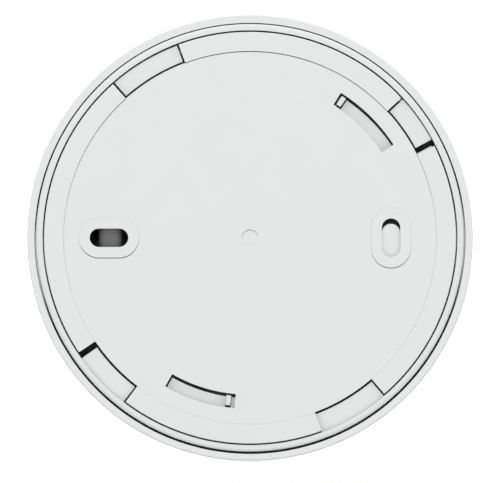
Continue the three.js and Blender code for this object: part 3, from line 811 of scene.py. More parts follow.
@dataclass(frozen=True)
class SolderMask(Finish):
    """Green solder mask over copper tracks, with the weave of the laminate faintly under it."""

    mask: Colour = (0.010, 0.085, 0.035)
    track: Colour = (0.022, 0.155, 0.060)
    pad: Colour = (0.62, 0.60, 0.55)

    def surface(self, graph: Graph) -> bpy.types.Node:
        """Builds the board's shader.

        Args:
            graph: The material's graph.

        Returns:
            The shader node.
        """
        inputs = {"Vector": graph.place(), "Scale": 260.0, "Randomness": 0.85}
        cells = graph.add("ShaderNodeTexVoronoi", inputs, distance="MANHATTAN", feature="F2")
        tracks = graph.between(cells.outputs["Distance"], 0.0, 1.0, 0.62, 0.66)
        dots = graph.add("ShaderNodeTexVoronoi", {"Vector": graph.place(), "Scale": 190.0, "Randomness": 1.0})
        vias = graph.between(dots.outputs["Distance"], 1.0, 0.0, 0.05, 0.07)
        weave = graph.add("ShaderNodeTexWave", {"Vector": graph.place(), "Scale": 700.0, "Distortion": 1.0})
        tone = graph.mix(tracks, self.mask, self.track)
        tone = graph.mix(vias, tone, self.pad)
        relief = graph.math("ADD", tracks, graph.math("MULTIPLY", weave.outputs["Fac"], 0.25))
        bump = graph.add("ShaderNodeBump", {"Height": relief, "Strength": 0.5, "Distance": 0.03 * MILLIMETRE})
        return graph.add("ShaderNodeBsdfPrincipled", {
            "Base Color": tone, "Roughness": graph.between(weave.outputs["Fac"], 0.28, 0.38, 0.0, 1.0),
            "Normal": bump.outputs[0], "Coat Weight": 0.3, "Coat Roughness": 0.15})


# The third colour of each moulding is its specks and the colour of its painted shade in crevices, recesses
# and gaps; on black mouldings it is a lighter grey.
PALE_GRIME_AND_SHADE = (0.30, 0.30, 0.29)
PLATE_WHITE = MouldedPlastic("plate white", (0.775, 0.795, 0.785), (0.785, 0.800, 0.792), PALE_GRIME_AND_SHADE)
# painted shade laid on strongly and widely, so the floors under the plate's slots and windows look darker
REAR_WHITE = MouldedPlastic("rear white", (0.772, 0.788, 0.780), (0.782, 0.796, 0.788), PALE_GRIME_AND_SHADE,
                            grime_and_shade_amount=0.8, grime_and_shade_reach=2.8)
FRONT_WHITE = MouldedPlastic("front white", (0.775, 0.790, 0.782), (0.785, 0.798, 0.790), PALE_GRIME_AND_SHADE,
                             roughness=0.42, grain=0.010, grain_size=0.3)
BUTTON_WHITE = MouldedPlastic("button white", (0.795, 0.812, 0.805), (0.806, 0.820, 0.812), PALE_GRIME_AND_SHADE,
                              roughness=0.38, grain=0.006)
DARK_DUST = (0.05, 0.05, 0.048)
CHAMBER_BLACK = MouldedPlastic("chamber black", (0.012, 0.012, 0.013), (0.017, 0.017, 0.018), DARK_DUST,
                               roughness=0.7, grain=0.02, grime_and_shade_amount=0.2)
SATIN_BLACK = MouldedPlastic("satin black", (0.014, 0.014, 0.015), (0.019, 0.019, 0.020), DARK_DUST,
                             roughness=0.4, grime_and_shade_amount=0.2)
CHIP_BLACK = MouldedPlastic("chip epoxy", (0.016, 0.016, 0.017), (0.022, 0.022, 0.023), (0.06, 0.06, 0.058),
                            roughness=0.55, grain=0.015, grain_size=0.12, grime_and_shade_amount=0.2)
FERRITE = MouldedPlastic("ferrite", (0.034, 0.034, 0.036), (0.048, 0.048, 0.050), (0.09, 0.09, 0.085),
                         roughness=0.65, grain=0.03, grain_size=0.15, grime_and_shade_amount=0.3)
CERAMIC = MouldedPlastic("fired ceramic", (0.80, 0.75, 0.62), (0.74, 0.69, 0.57), (0.4, 0.37, 0.3),
                         roughness=0.5, grain=0.012, grain_size=0.1)
LAMP_RESIN = MouldedPlastic("lamp resin", (0.74, 0.70, 0.63), (0.70, 0.65, 0.58), PALE_GRIME_AND_SHADE, roughness=0.22,
                            grain=0.002)
NICKEL = WorkedMetal("nickel plate", (0.66, 0.65, 0.62), (0.50, 0.48, 0.44))
ZINC = WorkedMetal("zinc plate", (0.60, 0.61, 0.62), (0.46, 0.46, 0.44), roughness=0.34)
STAINLESS = WorkedMetal("etched stainless", (0.50, 0.51, 0.52), (0.40, 0.40, 0.40), roughness=0.36)
BRASS = WorkedMetal("brass sheet", (0.70, 0.47, 0.17), (0.50, 0.30, 0.10), roughness=0.25)
COPPER = WorkedMetal("enamelled copper", (0.72, 0.30, 0.13), (0.50, 0.18, 0.07), roughness=0.22)
CAN_SLEEVE = ShrinkFilm("capacitor sleeve", (0.030, 0.040, 0.110), roughness=0.25)
CAN_METAL = WorkedMetal("drawn aluminium", (0.72, 0.73, 0.74), (0.58, 0.58, 0.58), roughness=0.3)
SLEEVE_FILM = ShrinkFilm("cell sleeve film", (0.008, 0.008, 0.009))
CLEAR = ClearResin("clear resin", (0.93, 0.96, 0.97))
INFRARED = ClearResin("infrared resin", (0.055, 0.020, 0.065), passing=0.35)
GREEN_BOARD = SolderMask("solder mask")


# ---------------------------------------------------------------- mounting plate


@dataclass(frozen=True)
class Lock:
    """One bayonet position: where the window, the lug and the ledge start and end with the alarm locked."""

    window: Span
    lug: Span
    ledge: Span


LOCKS = (
    Lock((26.5, 42.7), (28.4, 42.3), (28.4, 42.7)),
    Lock((110.3, 131.7), (110.8, 131.2), (113.0, 131.7)),
    Lock((213.8, 232.8), (215.6, 232.4), (216.0, 232.8)),
    Lock((290.4, 310.7), (288.0, 310.3), (291.5, 310.7)),
)
SCREW_SLOT_REACH = 30.0  # from the axis to the middle of each ceiling screw slot


@dataclass
class MountingPlate:
    """The plate that is screwed to the ceiling, with its rim, skirt, windows, ledges, slots and bosses."""

    radius: float = 43.8
    step: float = 39.7
    sunk: float = -0.45
    sheet: float = 1.5
    rim: float = 1.3
    skirt_wall: float = 1.4
    skirt_low: float = -4.8
    ledge_outer: float = 43.5
    ledge_top: float = -3.6
    stop_width: float = 1.6  # degrees
    arc_radii: Span = (33.4, 36.4)
    arc_spans: tuple[Span, ...] = ((33.0, 57.9), (240.3, 264.8))
    slot: Span = (8.2, 3.9)  # length and width
    boss_margin: float = 2.3
    pocket_margin: float = 1.5
    seat: float = -1.2
    boss_low: float = -2.4
    mark_radius: float = 1.75
    mark_depth: float = 0.35
    ring_rib: Span = (7.0, 8.2)
    rib_reach: float = 31.0
    rib_depth: float = 1.0
    arms: int = 6
    edge: float = 0.05

    def build(self) -> list[bpy.types.Object]:
        """Builds the plate.

        Returns:
            Its one piece.
        """
        body = self.blank().cut(*self.windows()).join(*self.ledges(), *self.ribs())
        body = body.cut(*self.arc_slots(), self.centre_mark())
        body = body.join(*(self.boss(side) for side in (-1, 1)))
        body = body.cut(*(cutter for side in (-1, 1) for cutter in self.screw_slot(side)))
        return [body.piece("mounting_plate_moulding", Body.PLATE, PLATE_WHITE, "mounting_plate",
                           slot="plate_plastic")]

    @property
    def under(self) -> float:
        """The height of the sheet's room side."""
        return self.sunk - self.sheet

    def blank(self) -> Solid:
        """Turns the sheet with its raised rim and its skirt.

        Returns:
            The blank.
        """
        inner = self.step - self.skirt_wall
        return Solid.turned(softened([
            (0, self.sunk, 0), (self.step, self.sunk, 0.03), (self.step, 0, self.edge),
            (self.radius, 0, 0.15), (self.radius, -self.rim, 0.2), (self.step, -self.rim, 0.2),
            (self.step, self.skirt_low, 0.25), (inner, self.skirt_low, 0.25), (inner, self.under, 0.4),
            (0, self.under, 0),
        ]))

    def windows(self) -> list[Solid]:
        """Makes the four windows in the rim.

        Returns:
            Their cutters.
        """
        reach = self.radius + OVER
        return [Solid.prism(sector(self.step - 0.1, reach, lock.window), -self.rim - 0.1, 0, top=-self.edge)
                for lock in LOCKS]

    def ledges(self) -> list[Solid]:
        """Makes the bayonet ledges, each with the stop that ends it.

        Returns:
            The ledges and stops.
        """
        made = []
        for lock in LOCKS:
            stop = (lock.ledge[1] + 0.25, lock.ledge[1] + self.stop_width)
            ledge = sector(self.step - 0.7, self.ledge_outer, (lock.ledge[0], stop[1] + 0.3))
            made.append(Solid.prism(ledge, self.skirt_low, self.ledge_top, bottom=0.15, top=0.15))
            wall = sector(self.step - 0.5, self.ledge_outer - 0.1, stop)
            made.append(Solid.prism(wall, self.skirt_low + 0.2, -self.rim / 2))
        return made

    def ribs(self) -> list[Solid]:
        """Makes the ring rib and the arms under the sheet.

        Returns:
            The ring and the arms.
        """
        low = self.under - self.rib_depth
        inner, outer = self.ring_rib
        ring = [(inner, self.under + 0.5, 0), (inner, low, 0.2), (outer, low, 0.2),
                (outer, self.under + 0.5, 0)]
        arms = []
        for i in range(self.arms):
            arm = rectangle((inner + outer) / 2, self.rib_reach, -0.5, 0.5)
            arm = Solid.prism(arm, low + 0.15, self.under + 0.4, bottom=0.15)
            arms.append(arm.moved(turn(30 + 360 * i / self.arms)))
        return [Solid.turned(softened(ring), MEDIUM), *arms]

    def arc_slots(self) -> list[Solid]:
        """Returns the cutters of the two curved slots."""
        return [Solid.prism(sector(*self.arc_radii, span), self.under - OVER, self.sunk, top=-self.edge / 2)
                for span in self.arc_spans]

    def centre_mark(self) -> Solid:
        """Returns the cutter of the shallow round gate mark."""
        return Solid.prism(circle(self.mark_radius), self.sunk - self.mark_depth, OVER)

    def along(self, side: int) -> Along:
        """Returns the direction of a screw slot: the west one lies along X and the east one along Y."""
        return Along.X if side < 0 else Along.Y

    def outline(self, side: int, margin: float) -> list[Point]:
        """Makes an oval round a screw slot.

        Args:
            side: -1 for the west slot and 1 for the east one.
            margin: How far outside the slot's edge the oval lies.

        Returns:
            The oval's points.
        """
        length, width = self.slot
        centre = (side * SCREW_SLOT_REACH, 0.0)
        return oval(length + 2 * margin, width + 2 * margin, centre, self.along(side))

    def boss(self, side: int) -> Solid:
        """Returns the raised oval boss round one screw slot."""
        return Solid.prism(self.outline(side, self.boss_margin), self.boss_low, 0, bottom=0.2, top=self.edge)

    def screw_slot(self, side: int) -> list[Solid]:
        """Returns the cutters of one screw slot: the slot itself and the pocket for the screw's head."""
        pocket = Solid.prism(self.outline(side, self.pocket_margin), self.boss_low, self.seat, bottom=-0.15)
        return [pocket, Solid.prism(self.outline(side, 0.0), self.boss_low - OVER, 0, top=-self.edge)]


# ---------------------------------------------------------------- covers


@dataclass
class RearCover:
    """The alarm's back shell: a dish with a crowned bead, lugs, tracks, pegs, the cell's bay and posts."""

    radius: float = 45.5
    inner: float = 44.1
    bead_top: float = -0.5
    bead_flat: float = 0.7
    bead_slope: float = 42.0  # how steep the bead's crown is at its outer edge
    floor: float = -5.3
    sheet: float = 1.5
    root: float = 0.7  # how deep what stands on the floor goes into it
    lug_inner: float = 40.08
    lug_heights: Span = (-3.3, -1.6)
    track_radii: Span = (33.0, 36.8)
    track_top: float = -2.65
    track_spans: tuple[Span, ...] = ((32.3, 78.5), (239.6, 285.5))
    peg_radii: Span = (33.8, 36.0)
    peg_top: float = -1.0
    peg_angles: tuple[float, ...] = (56.2, 262.4)
    peg_half: float = 0.9
    pad: Span = (13.0, 9.0)
    pad_top: float = -3.2
    bay: tuple[float, float, float, float] = (-38.6, -20.6, -21.1, 18.1)  # west, east, south and north
    bay_low: float = -24.3
    bay_wall: float = 1.2
    bay_reach: float = 42.7
    post_radius: float = 2.75
    post_bore: float = 1.1
    post_low: float = -21.9
    bore_depth: float = 7.5
    screw_boss: float = 4.4
    screw_pocket: Span = (3.2, -7.6)  # radius and depth
    screw_bore: float = 1.7
    boss_low: float = -9.3

    def build(self) -> list[bpy.types.Object]:
        """Builds the back shell.

        Returns:
            Its one piece.
        """
        added = [*self.lugs(), *self.tracks(), *self.pegs(), *self.posts(), *self.bosses(), self.pad_block()]
        body = self.dish().join(*added).join(self.bay_block(self.bay_wall))
        body = body.cut(self.bay_block(0), *self.tail_windows(), *self.bores())
        return [body.piece("rear_cover_moulding", Body.ALARM, REAR_WHITE, "rear_cover", slot="rear_plastic")]

    @property
    def rooted(self) -> float:
        """The height where what stands on the floor starts."""
        return self.floor - self.root

    def dish(self) -> Solid:
        """Turns the dish with its crowned bead.

        Returns:
            The dish.
        """
        crown = self.inner + self.bead_flat
        bend = (self.radius - crown) / math.sin(math.radians(self.bead_slope))
        under = self.floor - self.sheet
        bead = arc((self.inner + 0.12, self.bead_top - 0.12), 0.12, 180, 90, 4)
        bead += arc((crown, self.bead_top - bend), bend, 90, 90 - self.bead_slope, 12)
        foot = softened([(bead[-1][0], bead[-1][1], 0), (self.radius, under, 0.4), (0, under, 0)])
        fillet = arc((self.inner - 0.5, self.floor + 0.5), 0.5, -90, 0, 4)
        return Solid.turned([(0, self.floor), *fillet, *bead, *foot[1:]])

    def lugs(self) -> list[Solid]:
        """Makes the four inward bayonet lugs.

        Returns:
            The lugs.
        """
        low, high = self.lug_heights
        outer = (self.inner + self.radius) / 2
        return [Solid.prism(sector(self.lug_inner, outer, lock.lug), low, high, bottom=0.15, top=0.12)
                for lock in LOCKS]

    def tracks(self) -> list[Solid]:
        """Returns the two raised tracks under the plate's curved slots."""
        return [Solid.prism(sector(*self.track_radii, span), self.rooted, self.track_top, top=0.25)
                for span in self.track_spans]

    def pegs(self) -> list[Solid]:
        """Makes the pegs that run in the plate's curved slots.

        Returns:
            The pegs.
        """
        spans = [(angle - self.peg_half, angle + self.peg_half) for angle in self.peg_angles]
        return [Solid.prism(sector(*self.peg_radii, span), self.rooted, self.peg_top, top=0.15)
                for span in spans]

    def pad_block(self) -> Solid:
        """Returns the raised pad under the plate's east screw slot."""
        outline = oval(*self.pad, (SCREW_SLOT_REACH, 0.0), Along.Y)
        return Solid.prism(outline, self.rooted, self.pad_top, top=0.25)

    def posts(self) -> list[Solid]:
        """Returns the posts that the board's screws go into."""
        return [Solid.prism(circle(self.post_radius, middle), self.post_low, self.rooted, bottom=0.3)
                for middle in middles_of("board_screw", 3)]

    def bosses(self) -> list[Solid]:
        """Returns the cups that the cover screws' heads sit in."""
        return [Solid.prism(circle(self.screw_boss, middle), self.boss_low, self.rooted, bottom=0.3)
                for middle in middles_of("cover_screw", 4)]

    def bores(self) -> list[Solid]:
        """Makes the screw pockets and every screw bore.

        Returns:
            Their cutters.
        """
        made = []
        radius, depth = self.screw_pocket
        for middle in middles_of("cover_screw", 4):
            made.append(Solid.prism(circle(radius, middle), depth, self.floor, top=-0.25))
            made.append(Solid.prism(circle(self.screw_bore, middle), self.boss_low - OVER, self.floor))
        low = self.post_low
        for middle in middles_of("board_screw", 3):
            made.append(Solid.prism(circle(self.post_bore, middle), low, low + self.bore_depth, bottom=-0.2))
        return made

    def bay_block(self, wall: float) -> Solid:
        """Makes the bay's inside, or its outside with walls round it.

        Args:
            wall: The thickness of the walls, 0 for the inside.

        Returns:
            The block, rounded to the case.
        """
        west, east, south, north = self.bay
        top = self.floor - 0.1 if wall else OVER
        outline = rectangle(west - wall, east + wall, south - wall, north + wall, 0.5 + wall)
        block = Solid.prism(outline, self.bay_low - wall, top, bottom=0.4 + wall / 2)
        case = circle(self.bay_reach + wall, steps=ROUND)
        return block.meet(Solid.prism(case, self.bay_low - 5, top + OVER))

    def tail_windows(self) -> list[Solid]:
        """Makes the windows for the contacts' tails.

        Returns:
            Their cutters.
        """
        made = []
        east = self.bay[1]
        for name in ("contact_positive", "contact_negative"):
            low, high = corners_of(name)
            outline = rectangle(east - OVER, east + self.bay_wall + OVER, low.y - 0.3, high.y + 0.3)
            made.append(Solid.prism(outline, -19.9, -16.9))
        return made


@dataclass
class FrontCover:
    """The room-side shell: a lip, a skirt, a rounded shoulder and a slotted dome over the chamber."""

    radius: float = 47.5
    wall: float = 1.7
    skirt_wall: float = 1.8
    mouth: tuple[float, float, float] = (45.87, -0.15, 3.0)  # radius, shift along Y and depth
    lip: float = -1.3
    face: float = -31.0
    shoulder: float = 5.0
    dome_foot: float = 26.0
    dome_top: float = 24.9
    dome_low: float = -44.0
    dome_wall: float = 1.6
    dome_edge: float = 2.4
    inlets: int = 32
    inlet: Span = (8.8, 2.7)  # height and width
    inlet_flare: float = 0.55
    inlet_middle: float = -37.0
    grille_x: float = 33.6
    grille_pitch: float = 2.4
    grille_width: float = 1.3
    grille_lengths: tuple[float, ...] = (9.0, 12.0, 13.0, 12.0, 9.0)
    boss: Span = (3.1, 1.5)  # radius and bore
    boss_top: float = -9.5
    bore_depth: float = 11.0
    button_flange: float = 1.0
    button_gap: float = 0.3
    pipe_hole: float = 1.6
    collar_wall: float = 1.3
    collar_height: float = 1.7

    def build(self) -> list[bpy.types.Object]:
        """Builds the front shell.

        Returns:
            Its one piece.
        """
        body = self.shell().cut(Solid.together(self.inlet_cutters()), self.mouth_cutter())
        body = body.join(*self.bosses(), self.collar())
        body = body.cut(Solid.together(self.openings()), Solid.together(self.bores()))
        return [body.piece("front_cover_moulding", Body.ALARM, FRONT_WHITE, "front_cover",
                           slot="front_plastic")]

    @property
    def inside(self) -> float:
        """The height of the face's inner side."""
        return self.face + self.wall

    def shell(self) -> Solid:
        """Turns the shell.

        Returns:
            The shell, before its openings.
        """
        inner = self.radius - self.skirt_wall
        dome_inside = self.dome_low + self.dome_wall
        return Solid.turned(softened([
            (0, self.dome_low, 0), (self.dome_top, self.dome_low, self.dome_edge),
            (self.dome_foot, self.face - 1.2, 0.6), (self.dome_foot + 1.5, self.face, 0.6),
            (self.radius, self.face, self.shoulder), (self.radius, self.lip, 0.3), (inner, self.lip, 0.12),
            (inner, self.inside, self.shoulder - self.skirt_wall), (self.dome_foot + 1, self.inside, 0.4),
            (self.dome_foot - self.dome_wall, self.face - 0.9, 0.4),
            (self.dome_top - self.dome_wall, dome_inside, 1.2), (0, dome_inside, 0),
        ], steps=8))

    def mouth_cutter(self) -> Solid:
        """Makes the cutter of the skirt's mouth, which sits a little off centre.

        Returns:
            The cutter.
        """
        radius, along_y, depth = self.mouth
        outline = circle(radius, (0.0, along_y), ROUND)
        return Solid.prism(outline, self.lip - depth, self.lip, bottom=0.1, top=-0.08)

    def inlet_cutters(self) -> list[Solid]:
        """Makes the smoke inlets round the dome, with chamfered mouths.

        Returns:
            Their cutters.
        """
        height, width = self.inlet
        slot = oval(height, width, (0.0, 0.0), Along.X)
        depth = self.dome_top - self.dome_wall - OVER
        mouth = self.dome_foot + OVER
        made = []
        for i in range(self.inlets):
            cutter = Solid.lofted([(slot, depth), (slot, self.dome_top - 0.5),
                                   (grown(slot, self.inlet_flare), mouth)])
            lying = cutter.moved(turn(90, "Y"), shift(z=self.inlet_middle))
            made.append(lying.moved(turn(360 * i / self.inlets)))
        return made

    def collar(self) -> Solid:
        """Returns the collar that guides the button."""
        outline = circle(self.button_hole() + self.collar_wall, centre_of("test_button")[:2], MEDIUM)
        return Solid.prism(outline, self.face + 0.5, self.inside + self.collar_height, top=0.2)

    def openings(self) -> list[Solid]:
        """Makes the sounder's grille, the button's hole and the lamp's hole.

        Returns:
            Their cutters.
        """
        made = []
        for i, length in enumerate(self.grille_lengths):
            x = self.grille_x + self.grille_pitch * (i - (len(self.grille_lengths) - 1) / 2)
            outline = oval(length, self.grille_width, (x, 0.0), Along.Y)
            made.append(Solid.prism(outline, self.face, self.inside + OVER, bottom=-0.25))
        outline = circle(self.button_hole(), centre_of("test_button")[:2], MEDIUM)
        top = self.inside + self.collar_height + OVER
        made.append(Solid.prism(outline, self.face, top, bottom=-0.3))
        outline = circle(self.pipe_hole, centre_of("light_pipe")[:2])
        made.append(Solid.prism(outline, self.face, self.inside + OVER, bottom=-0.2))
        return made

    def button_hole(self) -> float:
        """Returns the radius of the button's hole."""
        low, high = corners_of("test_button")
        return (high.x - low.x) / 2 - self.button_flange + self.button_gap

    def bosses(self) -> list[Solid]:
        """Returns the columns that take the cover screws."""
        return [Solid.prism(circle(self.boss[0], middle), self.face + self.wall / 2, self.boss_top, top=0.2)
                for middle in middles_of("cover_screw", 4)]

    def bores(self) -> list[Solid]:
        """Makes the screws' bores.

        Returns:
            Their cutters.
        """
        low = self.boss_top - self.bore_depth
        return [Solid.prism(circle(self.boss[1], middle), low, self.boss_top, top=-0.2)
                for middle in middles_of("cover_screw", 4)]


# ---------------------------------------------------------------- fasteners


@dataclass
class PanScrew:
    """A pan-head screw with a cross recess and a cut thread, made with its seat at Z = 0 and its head up."""

    head: float
    head_height: float
    shank: float
    length: float

    def solid(self) -> Solid:
        """Makes the screw with its thread and recess.

        Returns:
            The screw.
        """
        crown = [(0, self.head_height, 0), (self.head * 0.72, self.head_height, self.head_height * 0.4),
                 (self.head, self.head_height * 0.35, 0.15), (self.head, 0, 0.08), (self.shank * 0.8, 0, 0)]
        core = self.shank * 0.74
        pitch = self.shank * 0.75
        turns = int((self.length - 1.4) / pitch)
        thread: list[Point] = []
        for i in range(turns):
            top = -0.4 - i * pitch
            thread += [(core, top), (self.shank, top - pitch * 0.4), (self.shank, top - pitch * 0.5)]
        tip = [(core, -0.4 - turns * pitch), (0.12, -self.length), (0, -self.length)]
        body = Solid.turned(softened(crown) + thread + tip, SMALL)
        return body.cut(*(self.recess(angle) for angle in (0, 90)))

    def recess(self, angle: float) -> Solid:
        """Makes the cutter of one bar of the cross.

        Args:
            angle: The bar's direction.

        Returns:
            The cutter.
        """
        low = rectangle(-self.head * 0.16, self.head * 0.16, -self.head * 0.08, self.head * 0.08)
        high = rectangle(-self.head * 0.55, self.head * 0.55, -self.head * 0.13, self.head * 0.13)
        bar = Solid.lofted([(low, self.head_height * 0.25), (high, self.head_height * 1.02), (high, 3.0)])
        return bar.moved(turn(angle))


@dataclass
class Fasteners:
    """The four cover screws, heads up, and the three board screws, heads down."""

    cover: PanScrew = field(default_factory=lambda: PanScrew(2.75, 1.9, 1.3, 11.0))
    board: PanScrew = field(default_factory=lambda: PanScrew(1.9, 1.4, 0.95, 7.5))

    def build(self) -> list[bpy.types.Object]:
        """Returns the seven screws."""
        made = [self.fitted(self.cover, f"cover_screw_{i}", 37 * i, True) for i in (1, 2, 3, 4)]
        return made + [self.fitted(self.board, f"board_screw_{i}", 53 * i, False) for i in (1, 2, 3)]

    def fitted(self, screw: PanScrew, node: str, angle: float, upright: bool) -> bpy.types.Object:
        """Makes one screw in its CAD node's place.

        Args:
            screw: The kind of screw.
            node: The screw's CAD node.
            angle: How far it is turned in.
            upright: Whether its head is up.

        Returns:
            The screw's piece.
        """
        low, high = corners_of(node)
        seat = high.z - screw.head_height if upright else low.z + screw.head_height
        way = [turn(angle)] if upright else [turn(angle), turn(180, "X")]
        solid = screw.solid().moved(*way, shift(*centre_of(node)[:2], seat))
        return solid.piece(f"{node}_steel", Body.ALARM, ZINC, node, slot="screw_steel")


# ---------------------------------------------------------------- cell


@dataclass
class Cell:
    """The sealed lithium cell in its bay, with its two contacts and the spring that presses it home."""

    radius: float = 8.5
    film: float = 0.2
    nub: float = 1.2
    nub_radius: float = 3.4
    spring_turns: float = 3.5
    spring_wire: float = 0.33
    spring_radii: Span = (4.0, 2.1)
    seam_middle: float = -29.95  # where the film's flatter seam lies, and how it is shaped
    seam_half: float = 2.3
    seam_blend: float = 1.5
    seam_radius: float = 15.5

    def build(self) -> list[bpy.types.Object]:
        """Builds the can, the sleeve, the spring and the contacts.

        Returns:
            The five pieces.
        """
        made = [self.can(), self.sleeve(), self.spring()]
        for name in ("contact_positive", "contact_negative"):
            made.append(self.contact(name))
        return made

    def laid(self, solid: Solid) -> Solid:
        """Lays a solid that stands on the axis along the bay."""
        middle = centre_of("cell_can")
        return solid.moved(turn(-90, "X"), shift(middle.x, 0, middle.z))

    def can(self) -> bpy.types.Object:
        """Makes the drawn can with its crimped shoulder and its positive nub.

        Returns:
            The can's piece.
        """
        low, high = corners_of("cell_can")
        radius = self.radius - self.film - 0.1
        crimp = high.y - self.nub
        profile = softened([
            (0, low.y, 0), (radius, low.y, 0.8), (radius, crimp - 2.2, 0.2), (radius - 0.5, crimp - 1.8, 0.2),
            (radius, crimp - 1.4, 0.2), (radius, crimp, 0.7), (radius - 1.3, crimp, 0.1),
            (radius - 1.5, crimp - 0.4, 0.1), (self.nub_radius + 0.6, crimp - 0.4, 0.1),
            (self.nub_radius, crimp, 0.1), (self.nub_radius, high.y, 0.35), (0, high.y, 0),
        ])
        can = self.laid(Solid.turned(profile, MEDIUM))
        return can.piece("cell_steel_can", Body.ALARM, NICKEL, "cell_can", slot="cell_metal")

    def sleeve(self) -> bpy.types.Object:
        """Makes the shrink sleeve with its lips turned in over the can's ends.

        Returns:
            The sleeve's piece.
        """
        low, high = corners_of("cell_sleeve")
        inner = self.radius - self.film
        profile = softened([(inner, low.y, 0), (self.radius, low.y, 0.15), (self.radius, high.y, 0.15),
                            (inner, high.y, 0)])
        film = self.laid(Solid.turned(profile, FILM_ROUND))
        self.flatten(film, high.z)
        return film.piece("cell_shrink_sleeve", Body.ALARM, SLEEVE_FILM, "cell_sleeve", slot="sleeve_film")

    def flatten(self, film: Solid, top: float) -> None:
        """Eases the film over its lengthwise seam, where it lies a little flatter.

        Args:
            film: The laid sleeve.
            top: The height of its highest line.
        """
        for vertex in film.mesh.vertices:
            away = abs(vertex.co.x - self.seam_middle)
            if vertex.co.z < top - self.radius / 2 or away > self.seam_half + self.seam_blend:
                continue
            share = min(1.0, (self.seam_half + self.seam_blend - away) / self.seam_blend)
            depth = 0.0 if vertex.co.z > self.outside(vertex.co.x, top) - self.film / 2 else self.film
            flatter = top - depth - away ** 2 / (2 * self.seam_radius)
            smooth = share * share * (3 - 2 * share)
            vertex.co.z += (min(flatter, top - depth) - vertex.co.z) * smooth

    def outside(self, x: float, top: float) -> float:
        """Returns the height of the round sleeve's outside at a given X."""
        middle = centre_of("cell_can")
        return top - self.radius + math.sqrt(self.radius ** 2 - (x - middle.x) ** 2)

    def contact(self, node: str) -> bpy.types.Object:
        """Makes one sheet contact: a pad behind the cell, a tail through the bay's wall and a foot.

        Args:
            node: The contact's CAD node.

        Returns:
            The contact's piece.
        """
        low, high = corners_of(node)
        middle = centre_of("cell_can")
        half = high.z - middle.z
        east, tail_low, tail_top, foot = high.x, -19.6, -17.2, high.x - 2.0
        outline = softened([
            (middle.x - half, middle.z - half, 1.2), (middle.x + half, middle.z - half, 0.4),
            (middle.x + half, tail_low, 0.3), (foot, tail_low, 0.4), (foot, low.z, 0.3), (east, low.z, 0.3),
            (east, tail_top, 0.6), (middle.x + half, tail_top, 0.3), (middle.x + half, middle.z + half, 1.2),
            (middle.x - half, middle.z + half, 1.2),
        ])
        sheet = high.y - low.y
        solid = Solid.prism(outline, 0, sheet, bottom=0.08, top=0.08).moved(turn(90, "X"), shift(y=high.y))
        return solid.piece(f"{node}_strip", Body.ALARM, NICKEL, node, slot="contact_metal")

    def spring(self) -> bpy.types.Object:
        """Makes the conical coil that presses the cell against the positive contact.

        Returns:
            The spring's piece.
        """
        low, high = corners_of("cell_spring")
        wire = self.spring_wire
        first, last = self.spring_radii
        rise = high.y - low.y - 2 * wire - 0.05
        shape = bmesh.new()
        ring = bmesh.ops.create_circle(shape, cap_ends=True, segments=14, radius=wire)["verts"]
        upright = Matrix.Translation((first, 0, 0)) @ turn(90, "X")
        bmesh.ops.transform(shape, matrix=upright, verts=ring)
        steps = round(self.spring_turns * 40)
        bmesh.ops.spin(shape, geom=shape.verts[:] + shape.edges[:] + shape.faces[:], cent=(0, 0, 0),
                       axis=(0, 0, 1), dvec=(0, 0, rise / steps), angle=2 * math.pi * self.spring_turns,
                       steps=steps)
        bmesh.ops.remove_doubles(shape, verts=shape.verts, dist=MERGE)
        for vertex in shape.verts:
            share = min(1.0, max(0.0, vertex.co.z / rise))
            reach = Vector(vertex.co[:2])
            inward = reach.normalized() * (first - last) * share
            vertex.co.xy = reach - inward
        coil = self.laid(Solid(shape).moved(shift(z=low.y + wire + 0.02)))
        return coil.piece("cell_coil_spring", Body.ALARM, NICKEL, "cell_spring", slot="spring_wire")


# ---------------------------------------------------------------- board


